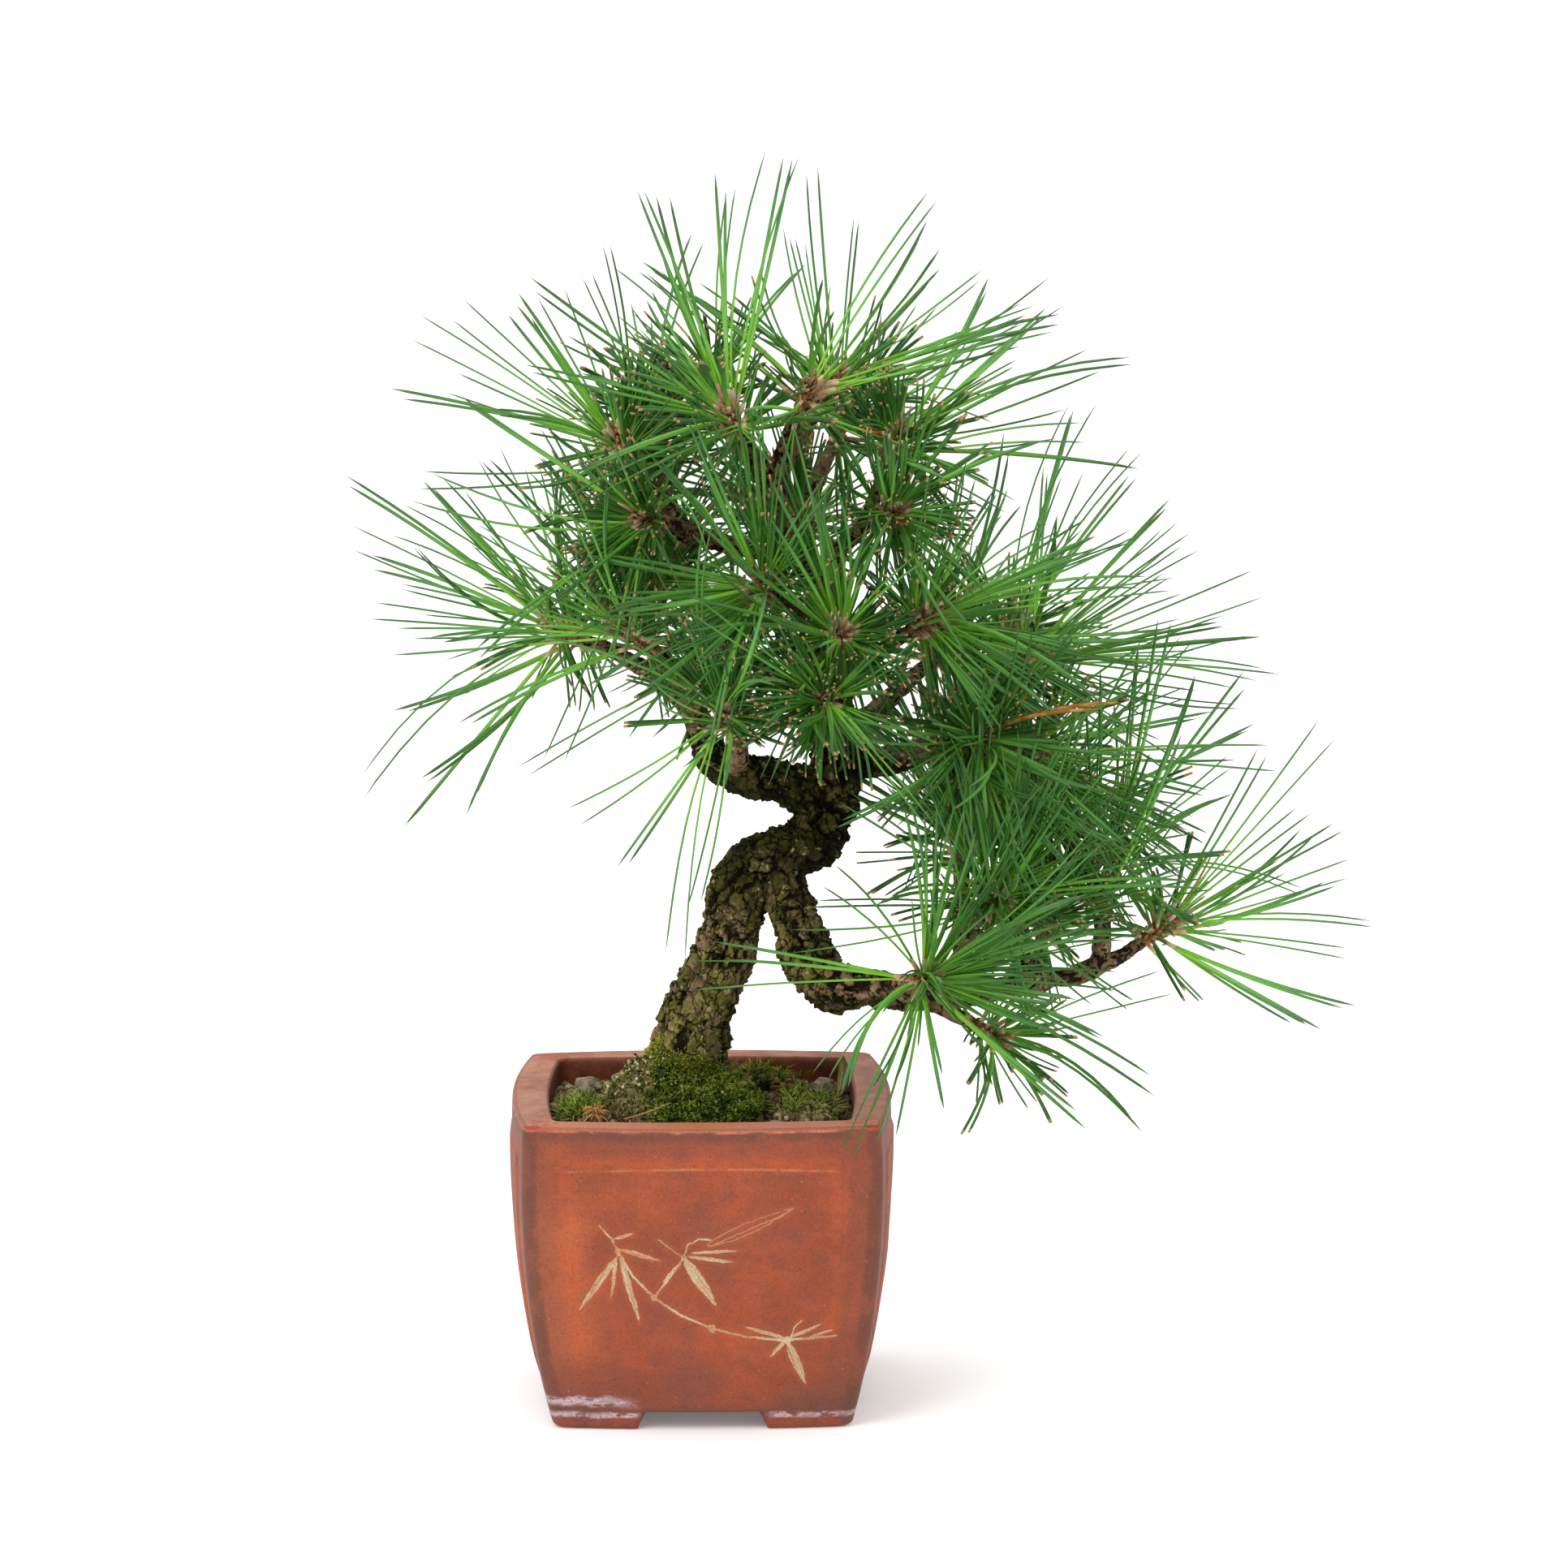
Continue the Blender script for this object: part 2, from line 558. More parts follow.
def pot_part():
    """The pot's whole skin: rings up the outside, over the rim, down the inside, over the floor and back below.

    Outside, a ring's height rises from the foot arch to its own height over ARCH_FADE, and the panel is lifted by
    the product of three smooth steps. Scratches are cut in by a smooth step of their distance.
    """
    columns = pot_columns()
    side, _, turn = columns
    bend = np.linspace(0, math.pi / 2, 6)
    level = np.concatenate([
        BASE_ROUNDING * (1 - np.cos(bend)),
        np.linspace(BASE_ROUNDING, SPRIG_LOW, 12)[1:],
        np.linspace(SPRIG_LOW, SPRIG_HIGH, 141)[1:],
        np.linspace(SPRIG_HIGH, POT_HEIGHT - RIM_ROUNDING, 26)[1:],
    ])[:, None]
    inset = np.concatenate([BASE_ROUNDING * (1 - np.sin(bend)), np.zeros(len(level) - len(bend))])[:, None]
    foot, _ = pillow(columns, half_width(0.0) - inset[:1], side_bulge(0.0))
    z = level + foot_arch(foot[..., 0], foot[..., 1]) * np.clip(1 - level / ARCH_FADE, 0, 1)
    _, across = pillow(columns, half_width(z) - inset, side_bulge(z))
    reach = np.abs(across).max(axis=1)[:, None]
    window = smooth(PANEL_HALF * reach + PANEL_EDGE - np.abs(across), 0, PANEL_EDGE)
    window = window * smooth(z, PANEL_LOW - 3 * PANEL_EDGE, PANEL_LOW + 3 * PANEL_EDGE)
    window = window * smooth(z, PANEL_HIGH + PANEL_EDGE, PANEL_HIGH)
    ink, scratch, streak = drawn_sprig(across / MM, z / MM)
    away = np.where((side == 0) & (turn == NO_TURN), 0.0, FAR)
    dent = 0.28 * MM * smooth(scratch + away, 0.25, -0.2)
    wobble = 0.25 * MM * waver(np.stack([across * 60, z * 60, side + 0 * z], axis=-1), 8)
    outer, _ = pillow(columns, half_width(z) - inset, side_bulge(z), PANEL_RAISE * window - dent + wobble * window)
    rings, zones = [np.dstack([outer, z])], [np.zeros(len(level))]

    def add(plan, height, zone):
        rings.append(np.dstack([plan[None], np.broadcast_to(height, (1, len(plan)))]))
        zones.append([zone])

    roll = np.linspace(0, math.pi / 2, 5)[1:]
    for angle in roll:
        ring, _ = pillow(columns, half_width(POT_HEIGHT) - RIM_ROUNDING * (1 - math.cos(angle)), RIM_BULGE)
        add(ring, POT_HEIGHT - RIM_ROUNDING * (1 - math.sin(angle)), 0.5)
    for share in np.linspace(0, 1, 10)[1:]:
        inwards = RIM_ROUNDING + (RIM_WIDTH - 2 * RIM_ROUNDING) * share
        bow = RIM_BULGE * (1 + (INNER_BOW - 1) * share)
        add(pillow(columns, half_width(POT_HEIGHT) - inwards, bow)[0], POT_HEIGHT, 1.0)
    for angle in roll:
        half = half_width(POT_HEIGHT) - RIM_WIDTH + RIM_ROUNDING * (1 - math.sin(angle))
        ring, _ = pillow(columns, half, RIM_BULGE * INNER_BOW)
        add(ring, POT_HEIGHT - RIM_ROUNDING * (1 - math.cos(angle)), 1.5)
    for height in np.linspace(POT_HEIGHT - RIM_ROUNDING, FLOOR_TOP, 22)[1:]:
        add(inner_ring(columns, min(height, WIDEST_HEIGHT)), height, 2.0)
    floor = rings[-1][0, :, :2]
    hole = DRAIN_HOLE_RADIUS * unit(floor)
    for share in np.linspace(0, 1, 8)[1:]:
        add(floor * (1 - share) + hole * share, FLOOR_TOP, 3.0)
    for share in np.linspace(0, 1, 20)[:-1]:
        ring = hole * (1 - share) + outer[0] * share
        add(ring, foot_arch(ring[:, 0], ring[:, 1]), 3.0)
    points = np.concatenate(rings)
    far = np.full((len(points) - len(level), len(side)), FAR)
    spread = np.broadcast_to(across[-1], far.shape)
    return {
        "points": points + MIDDLE,
        "faces": grid_quads(len(points), len(side), wrap_rows=True),
        "zone": np.concatenate(zones)[:, None],
        "across": np.abs(np.concatenate([across, spread])) / MM,
        "ink": np.concatenate([ink + away, far]),
        "scratch": np.concatenate([scratch + away, far]),
        "streak": np.concatenate([streak, far * 0]),
        "reach": np.append(reach, np.full(len(far), reach[-1]))[:, None] / MM,
        "side": side,
    }


def pot_finish():
    """Unglazed red clay, greyed by handling at its edges, brighter along the panel, with lime marks at the foot."""
    clay = Finish("red_clay")
    zone, across, ink, scratch, streak, reach, side = clay.values("zone across ink scratch streak reach side")
    x, y, z = (clay.axis(number) for number in range(3))
    x, y = x - MIDDLE[0] / MM, y - MIDDLE[1] / MM
    outside, top, inside = zone.rise(0.75, 0.25), zone.rise(0.2, 0.8) * zone.rise(1.8, 1.2), zone.rise(1.2, 1.8)

    cloud = clay.noise(26, 4, shift=3)
    mottle = clay.noise(7, 5, shift=9)
    grain = clay.noise(0.9, 3, shift=5)
    fine = clay.noise(0.35, 2, shift=7)
    wiped = clay.noise(5, 4, (0.35, 0.35, 1.6), 21)
    body = clay.ramp(cloud, (0.30, "964A2F"), (0.50, "A44E31"), (0.72, "B45636"))
    brown = clay.noise(30, 3, shift=81).rise(0.46, 0.64) * across.rise(46, 20) * z.rise(84, 60)
    warm = (x + clay.noise(12, 3, shift=83) * 16).rise(-20, -36) * z.rise(14, 30) * z.rise(88, 70)
    body = clay.coats(
        body,
        (mottle.rise(0.42, 0.72) * 0.60, "874A3A"),
        (wiped.rise(0.50, 0.75) * 0.35, "B26244"),
        (brown * 0.5, "855043"),
        (warm * 0.75, "C4663E"),
    )

    edge = across - reach
    near_edge = (edge + mottle * 9).rise(-9, 6)
    near_top = (z + mottle * 8).rise(92, 104)
    near_foot = (z * -1 + mottle * 12).rise(-20, 4)
    patina = near_edge.at_least(near_top * 0.8).at_least(near_foot * 0.8)
    under_rim = z.rise(96.5, 99.5) * z.rise(101.4, 100.4) * clay.noise(10, 3, shift=91).rise(0.3, 0.55)
    worn = edge.rise(-1.7, -0.3) * clay.noise(8, 4, (1, 1, 0.5), 92).rise(0.32, 0.55)
    low_corner = (edge + mottle * 22).rise(-22, 2) * (z + mottle * 8).rise(26, 7)
    over_arch = z.rise(10, 4.4) * across.rise(34, 20)
    body = clay.coats(
        body,
        (patina * 0.52, "7A4C3E"),
        (clay.noise(15, 4, shift=40).rise(0.48, 0.76) * z.rise(30, 62) * 0.60, "85493D"),
        (side.rise(0.1, 0.5) * 0.35, "6B4A3E"),
        (under_rim.at_least(worn) * 0.50, "5A3C34"),
        (low_corner.at_least(over_arch) * 0.75, "69483E"),
    )

    panel = reach * PANEL_HALF
    beside = across - panel + (clay.noise(11, 3, shift=61) - 0.5) * 5
    band = beside.rise(-5.5, -0.5) * beside.rise(3.4, 0.2) * z.rise(16, 34) * z.rise(96, 86)
    over = z - PANEL_HIGH / MM + (clay.noise(13, 3, shift=62) - 0.5) * 4
    above = over.rise(-2.2, 0.2) * over.rise(4.8, 1.0) * beside.rise(3, -3)
    glow = band.at_least(above) * clay.noise(9, 3, shift=60).rise(0.25, 0.62)
    bowed = z - PANEL_HIGH / MM + 0.3 + across * across * 0.0007
    line = bowed.rise(-0.7, 0.0) * bowed.rise(0.7, 0.1) * (across - panel).rise(0.5, -2)
    body = clay.coats(
        body,
        (glow * 0.52, "C45C30"),
        (line * mottle.rise(0.35, 0.65) * 0.5, "E08C66"),
        (z.rise(6, 2.5) * clay.noise(6, 3, shift=50).rise(0.30, 0.5) * 0.65, "AC5030"),
    )

    rim = clay.ramp(mottle + (cloud - 0.5) * 0.8, (0.3, "A8624B"), (0.5, "C07B61"), (0.75, "D2967C"))
    top = top.at_least((z + mottle * 0.8).rise(100.6, 101.3) * outside)
    dark_line = abs(z - 101.2 + mottle).rise(0.9, 0.15) * outside
    rim = clay.coats(
        rim,
        ((y - mottle * 3).rise(-48, -52) * 0.8, "DA8560"),
        (dark_line * clay.noise(9, 3, shift=13).rise(0.35, 0.6) * 0.85, "5A4038"),
        (edge.rise(-5, 1) * clay.noise(2.2, 3, shift=33).rise(0.40, 0.55), "C0562F"),
    )
    body = clay.coats(body, (top, rim), (inside, clay.mix(mottle.rise(0.3, 0.7), "5E2E1B", "86472B")))

    curve = z - 6.2 - mottle * 3 - clay.noise(16, 2, shift=70) * 4
    torn = clay.noise(3.4, 5, (0.55, 0.55, 1.5), 71, 0.65)
    veil = abs(curve).rise(2.6, 0.3) * (x + mottle * 10).rise(-14, -26)
    wisps = abs(torn - 0.5).rise(0.05, 0.012)
    lower = z - 4.6 - mottle * 1.4
    ledge = abs(lower).rise(1.5, 0.2) * clay.noise(12, 2, shift=73).rise(0.30, 0.48) * across.rise(19, 23)
    lime = veil.at_least(ledge) * (torn.rise(0.34, 0.58) * 0.62 + wisps * 0.7) * outside
    scored = clay.node("ShaderNodeCombineXYZ", {}, {0: streak * 2.6, 1: z * 0.12, 2: across * 0.05})
    lines = clay.node("ShaderNodeTexNoise", {}, {"Vector": scored, "Scale": 1.0, "Detail": 2.0})
    chalk = ink.rise(0.12, -0.10) * (lines + (fine - 0.5) * 0.7).rise(0.43, 0.55)
    body = clay.coats(
        body,
        (lime.at_most(0.9), "D6BEC2"),
        (clay.specks(1.5, 0.04, shift=2) * 0.35, "C98A66"),
        (clay.specks(1.7, 0.05, shift=8) * 0.40, "4A2A22"),
        (grain.rise(0.42, 0.66) * 0.26, "6E2E1C"),
        (fine.rise(0.55, 0.70) * 0.16, "D89070"),
        (scratch.rise(1.8, 0.1) * 0.28, "BC5C36"),
        (scratch.rise(0.10, -0.10) * (fine + 0.5).rise(0.75, 1.0), "C08C66"),
        (chalk * 0.90, clay.mix(grain, "B8A582", "DFD0AE")),
    )

    height = grain * 0.5 + fine * 0.3 + mottle * 0.2 - chalk * 0.15
    gloss = 0.66 - patina * 0.10 + chalk * 0.2 + (mottle - 0.5) * 0.12
    return clay.wears(Base_Color=body, Roughness=gloss, Normal=clay.bump(height, 0.16))


def make_pot():
    new_piece("clay_pot", [pot_part()], [pot_finish()], ["pot"], math.radians(50))


# ---------------------------------------------------------------- needles

NEEDLE_HALF_WIDTH = 0.00060
# Shorter needles are old, dull and cut off blunt.
OLD_REACH = 0.0462
SHEATH_RADIUS = 0.00068
# Half the length of a shoot as its needles leave it, and its radius.
SHOOT_HALF, SHOOT_RADIUS = 0.0048, 0.0021
# No needle hangs lower than this.
LOWEST_TIP = 0.098
# The topmost tuft is at this x.
TOP_X = -0.02
# Distances of a tip from the nearest shoot: the crown's edge begins at the first and is reached at the second.
EDGE_BEGINS, EDGE_REACHED = 0.026, 0.050
# How many pairs there are to a packed spike in the crown's middle, beside the spike's own.
MORE_PAIRS = 5.0
# The share of needles that have withered.
WITHERED = 0.006
NEEDLE_SIDES, SHEATH_SIDES = 4, 6
# Rings of a needle from its foot to its tip, and their widths on pointed and on blunt needles.
ALONG = np.array([0.0, 0.10, 0.24, 0.38, 0.52, 0.66, 0.80, 0.93, 1.0])
POINTED = np.array([0.86, 1.0, 1.0, 1.0, 1.0, 0.97, 0.92, 0.74, 0.12])
BLUNT = np.array([0.86, 1.0, 1.0, 1.0, 1.0, 0.98, 0.97, 0.95, 0.80])
# Rings of a sheath and their ragged widths.
SHEATH_ALONG = np.array([0.0, 0.35, 0.75, 1.0])
SHEATH_WIDTHS = np.array([0.9, 1.1, 1.12, 1.0])


def read_mesh(node):
    """(points, triangles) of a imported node, with the points that share a place made one."""
    points, corners = mesh_arrays(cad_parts[node].data)
    places, index = np.unique(np.round(points, 6), axis=0, return_inverse=True)
    return places, index.reshape(-1)[corners].reshape(-1, 3)


def tuft_plan(node):
    """(middle of the shoot, its axis, the way and the reach of each spike) of a packed tuft.

    A spike's tip is a point that only three triangles meet at. The rest is the shoot, longest along its axis.
    """
    places, faces = read_mesh(node)
    tips = np.bincount(faces.ravel(), minlength=len(places)) == 3
    shoot = places[~tips]
    middle = shoot.mean(axis=0)
    axis = np.linalg.svd(shoot - middle, full_matrices=False)[2][0]
    spikes = places[tips] - middle
    reach = np.linalg.norm(spikes, axis=1)
    way = spikes / reach[:, None]
    return middle, axis * np.sign((way @ axis).mean()), way, reach


def at_right_angles(way, rough_side):
    """Unit vectors at right angles to way, as near as may be to rough_side."""
    return unit(rough_side - way * np.einsum("ij,ij->i", rough_side, way)[:, None])


def bent_needles(start, way, length, bend, side, wide, thick, flat, blunt):
    """Needles along start + t length way + t^2 length bend, half round in section, with their flat side down.

    Their width keeps nearly even and closes over the last tenth to a point, or hardly at all where blunt is 1.
    """
    t = ALONG[None, :, None]
    run = length[:, None, None]
    centres = start[:, None] + t * run * way[:, None] + t**2 * run * bend[:, None]
    ahead = unit(way[:, None] + 2 * t * bend[:, None])
    across = side[:, None] - ahead * np.einsum("ijk,ijk->ij", side[:, None] + 0 * ahead, ahead)[..., None]
    across = unit(across)
    up = np.cross(ahead, across)
    profile = POINTED * (1 - blunt[:, None]) + BLUNT * blunt[:, None]
    return tubes(centres, across, up, *(size[:, None] * profile for size in (wide, thick, flat)))


def longer_by(middle, way, tips):
    """Factor on a needle's length, for the crown's outline.

    Upright needles of the topmost tuft and outward ones at the far left are longer, and those that end high up
    beside the top are shorter.
    """
    top = smooth(middle[2], 0.31, 0.33) * (1 - smooth(abs(middle[0] - TOP_X), 0.012, 0.03))
    peak = smooth(way[:, 2], 0.55, 0.9) * top
    shoulder = smooth(tips[:, 2], 0.36, 0.39) * smooth(np.abs(tips[:, 0] - TOP_X), 0.03, 0.06)
    leftmost = smooth(-middle[0], 0.07, 0.10) * smooth(-way[:, 0], 0.5, 0.9)
    return 1 + 0.75 * peak - 0.12 * shoulder + 0.12 * leftmost


def tuft_needles(middle, axis, way, reach, shoots, rng):
    """(way, reach) of the needle pairs: a packed spike each, some left out at the crown's edge, more within it.

    A pair is at the edge when its tip is far from every shoot of the tree. More stay in the gap over the low
    branch, and fewer before the trunk, at the top and in the lowest and the rightmost tufts.
    """
    way = unit(way + rng.normal(0, 0.12, way.shape) + axis * 0.08)
    tips = middle + way * reach[:, None]
    lone = np.linalg.norm(tips[:, None] - shoots[None], axis=2).min(axis=1)
    edge = smooth(lone, EDGE_BEGINS, EDGE_REACHED)
    reach = reach * longer_by(middle, way, tips)
    x, z = tips[:, 0], tips[:, 2]
    draw = rng.random(len(way))
    before_trunk = (x < 0.012) & (way[:, 2] > 0.15) & (middle[2] < 0.19) & (0 < middle[0] < 0.04)
    gap = (x > -0.02) & (x < 0.07) & (z > 0.15) & (z < 0.25) & (middle[0] > 0.005)
    edge = edge * (1 - 0.7 * gap)
    left_out = (0.44 + 0.40 * smooth(z, 0.33, 0.39)) * edge
    kept = np.flatnonzero((draw > left_out) & (draw > 0.70 * before_trunk))
    spare = (1 - 0.62 * smooth(middle[0], 0.025, 0.060)) * (1 - 0.4 * smooth(middle[2], 0.30, 0.34))
    spare = spare * (0.15 + 0.85 * smooth(middle[2], 0.135, 0.150))
    again = np.repeat(kept, rng.poisson(MORE_PAIRS * spare * (1 - edge[kept])))
    extra = unit(way[again] + rng.normal(size=(len(again), 3)) * 0.30 + axis * 0.35)
    way = np.concatenate([way[kept], extra])
    own_reach = reach[kept] * rng.uniform(0.88, 1.05, len(kept))
    reach = np.concatenate([own_reach, reach[again] * rng.uniform(0.75, 1.0, len(again))])
    drop = way[:, 2] * reach
    room = np.where(drop < 0, (middle[2] - LOWEST_TIP) / np.maximum(-drop, 1e-6), 1.0)
    return way, reach * np.clip(room, 0.45, 1.0)


def needle_parts(plan, shoots, rng):
    """All of one tuft: paired needles, the papery sheath round each pair's foot, the scaly shoot and its bud."""
    middle, axis, way, reach = plan
    way, reach = tuft_needles(middle, axis, way, reach, shoots, rng)
    young = reach > OLD_REACH
    many = len(way)
    forward = way @ axis
    skin = 1 / np.sqrt((forward / SHOOT_HALF) ** 2 + (1 - forward**2) / SHOOT_RADIUS**2)
    shift = 0.0022 * (forward - 0.3) + rng.uniform(-0.004, 0.005, many)
    start = middle + way * skin[:, None] * 0.7 + axis * shift[:, None]
    length = reach - skin
    sheath = np.where(young, rng.uniform(0.0060, 0.0095, many), rng.uniform(0.0035, 0.006, many))
    apart = at_right_angles(way, rng.normal(size=(many, 3)))
    sag = at_right_angles(way, np.broadcast_to([0.0, 0.0, -1.0], way.shape)) * (1 - np.abs(way[:, 2:])) * 0.035
    sweep = at_right_angles(way, rng.normal(size=(many, 3)))
    sweep = sweep * (rng.normal(0, 0.15, many) * (1 + (rng.random(many) < 0.2)))[:, None] + sag
    spread = np.tan(np.radians(rng.uniform(1.2, 6.5, many)))[:, None]
    tone, dead = rng.random(many), rng.random(many) < WITHERED
    parts = []
    for own in (apart, -apart):
        ahead = unit(way + own * spread)
        shorter = 1 - rng.uniform(0, 0.04, many)
        bend = sweep - own * (0.35 * spread) + rng.normal(0, 0.015, (many, 3))
        wide = NEEDLE_HALF_WIDTH * rng.uniform(0.88, 1.12, many)
        foot = start + way * (sheath * 0.55)[:, None] + own * 0.00022
        run = length * shorter - sheath * 0.55
        parts.append({
            "points": bent_needles(
                foot, ahead, run, bend, np.cross(ahead, own), wide, wide * 0.85, wide * 0.30, ~young * 1.0
            ),
            "faces": repeated(tube_quads(len(ALONG), NEEDLE_SIDES), len(ALONG) * NEEDLE_SIDES, many),
            "along": ALONG[:, None],
            "tone": (tone * 0.8 + 0.2 * rng.random(many))[:, None, None],
            "old": (~young * 0.75)[:, None, None],
            "dead": dead[:, None, None] * 1.0,
        })
    centres = start[:, None] + SHEATH_ALONG[:, None] * (way * sheath[:, None])[:, None]
    up = np.cross(way, apart)[:, None] + 0 * centres
    wide = SHEATH_RADIUS * SHEATH_WIDTHS * rng.uniform(0.85, 1.15, (many, 1))
    cover = tubes(centres, apart[:, None] + 0 * centres, up, wide * 1.15, wide * 0.9, sides=SHEATH_SIDES)
    cover[:, -1] += rng.normal(0, 0.00035, (many, SHEATH_SIDES, 1)) * way[:, None]
    rings = len(SHEATH_ALONG)
    parts.append({
        "points": cover,
        "faces": repeated(tube_quads(rings, SHEATH_SIDES), rings * SHEATH_SIDES, many),
        "material": 1,
        "along": SHEATH_ALONG[:, None],
        "tone": tone[:, None, None],
    })
    return parts + shoot_parts(middle, axis, rng)


GOLDEN_ANGLE = 2.39996
BRACTS, BUD_SCALES = 84, 36


def shoot_parts(middle, axis, rng):
    """The shoot as a knobbly spindle, its bracts as small lances in a spiral, and a bud of the same at its end."""
    across = unit(np.cross(axis, OBLIQUE))
    other = np.cross(axis, across)
    rings, sides = 15, 12
    t = np.linspace(0, 1, rings)
    turn = np.arange(sides) * math.tau / sides
    body = SHOOT_RADIUS * np.sin(math.pi * np.clip(t * 0.86 + 0.10, 0, 1)) ** 0.5
    knobs = 1 + 0.16 * np.sin(5 * turn[None] + 9 * t[:, None] * math.pi) * np.sin(3 * turn[None] - 14 * t[:, None])
    radial = np.cos(turn)[:, None] * across + np.sin(turn)[:, None] * other
    spine = middle + axis * ((t - 0.5) * 0.0125)[:, None]
    points = spine[:, None] + (body[:, None] * knobs)[..., None] * radial[None]
    parts = [{"points": points, "faces": tube_quads(rings, sides), "material": 2, "tone": 0.3}]
    order = np.arange(BRACTS + BUD_SCALES)
    on_side, count = order < BRACTS, len(order)
    spot = np.concatenate([rng.uniform(-0.0062, 0.0058, BRACTS), np.linspace(0.0058, 0.0095, BUD_SCALES)])
    spin = order * GOLDEN_ANGLE
    away = np.cos(spin)[:, None] * across + np.sin(spin)[:, None] * other
    thin = np.clip((0.0100 - spot) / 0.005, 0.12, 1.0)
    root = middle + axis * spot[:, None] + away * (0.0017 * thin)[:, None]
    lean = np.where(on_side, rng.uniform(0.35, 1.1, count), rng.uniform(0.10, 0.3, count))
    way = unit(axis + away * lean[:, None] + rng.normal(0, 0.10, (count, 3)))
    side = unit(np.cross(way, away))
    length = np.where(on_side, rng.uniform(0.0022, 0.0046, count), rng.uniform(0.0020, 0.0030, count))
    scales = leaflets(root, way, side, length, length * 0.20, -0.25 * away, 0.09, rng.random(count))
    return [*parts, {**scales, "material": 2}]


LEAFLET_FACES = np.array([
    (0, 1, 4), (0, 4, 3), (1, 2, 5), (1, 5, 4), (2, 0, 3), (2, 3, 5), (3, 4, 6), (4, 5, 6), (5, 3, 6), (0, 2, 1),
])  # fmt: skip


def leaflets(root, way, side, length, half_width, bend, thin, tone):
    """Small closed blades: two triangular rings and a tip, along root + t length way + t^2 length bend.

    A ring's corners are its two edges, half a width either way, and a keel that is thin times the width below.
    """
    up = np.cross(side, way)
    rows = []
    for t, width in ((0.0, 0.7), (0.5, 1.0)):
        centre = root + (t * way + t * t * bend) * length[:, None]
        edge = side * (half_width * width)[:, None]
        keel = up * (half_width * width * (0.35 + thin))[:, None]
        rows += [centre + edge + keel * 0.4, centre - edge + keel * 0.4, centre - keel]
    rows.append(root + (way + bend) * length[:, None])
    return {
        "points": np.stack(rows, axis=1),
        "faces": repeated(LEAFLET_FACES, 7, len(root)),
        "along": [0, 0, 0, 0.5, 0.5, 0.5, 1.0],
        "tone": tone[:, None],
    }


def needle_finish():
    """Waxy green needles: yellow green at the sheath, darker to the tip, dull and tan ended where old and cut."""
    wax = Finish("needle_green")
    along, tone, old, dead = wax.values("along tone old dead")
    young = wax.ramp(
        along, (0.0, "C4EC58"), (0.10, "98DC44"), (0.34, "86CE50"), (0.72, "62A24E"), (1.0, "4A7040")
    )  # fmt: skip
    dark = wax.ramp(along, (0.0, "78B63A"), (0.4, "3E7A26"), (1.0, "315726"))
    body = wax.mix((tone.rise(0.20, 0.90) * 0.80 + old * 0.5).at_most(1.0), young, dark)
    body = wax.coats(
        body,
        (wax.noise(3.0, 3).rise(0.45, 0.75) * 0.30, "6FA036"),
        (old.rise(0.5, 0.6) * along.rise(0.94, 0.98), "B99463"),
        ((1 - old) * along.rise(0.965, 1.0) * tone.rise(0.45, 0.7) * 0.8, "A7803F"),
        (dead, wax.mix(wax.noise(6.0, 2).rise(0.4, 0.6), "A9692B", "C79A50")),
    )
    return wax.wears(Base_Color=body, Roughness=0.42 + tone * 0.12 + dead * 0.25)


def sheath_finish():
    """Papery sheaths: grey white and fibrous, browner at the foot."""
    paper = Finish("papery_sheath")
    along, tone = paper.values("along tone")
    fibre = paper.noise(0.8, 4, (1, 1, 0.4))
    body = paper.ramp(along, (0.0, "8E6234"), (0.4, "C09060"), (1.0, "E2CAA0"))
    body = paper.coats(body, (tone.rise(0.45, 0.9) * 0.7, "8A6444"), (fibre.rise(0.45, 0.7) * 0.5, "D6C8AC"))
    return paper.wears(Base_Color=body, Roughness=0.78 - tone * 0.1, Normal=paper.bump(fibre, 0.15))


def scale_finish():
    """Bud and shoot scales: chestnut, paler and frayed at their tips."""
    scale = Finish("bud_scales")
    along, tone = scale.values("along tone")
    body = scale.ramp(tone, (0.0, "6B4A22"), (0.5, "A0743C"), (1.0, "C69E62"))
    mottle = scale.noise(1.3, 3).rise(0.5, 0.75)
    body = scale.coats(body, (along.rise(0.4, 1.0) * 0.6, "C9B090"), (mottle * 0.5, "4A3220"))
    return scale.wears(Base_Color=body, Roughness=0.70 + tone * 0.1)


def make_needles():
    finishes = [needle_finish(), sheath_finish(), scale_finish()]
    plans = {node: tuft_plan(node) for node in sorted(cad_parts) if node.startswith("needles_")}
    shoots = np.array([plan[0] for plan in plans.values()])
    for number, (node, plan) in enumerate(plans.items()):
        parts = needle_parts(plan, shoots, np.random.default_rng(SEED + number))
        new_piece(node.replace("needles", "tuft"), parts, finishes, [node])


# ---------------------------------------------------------------- wood

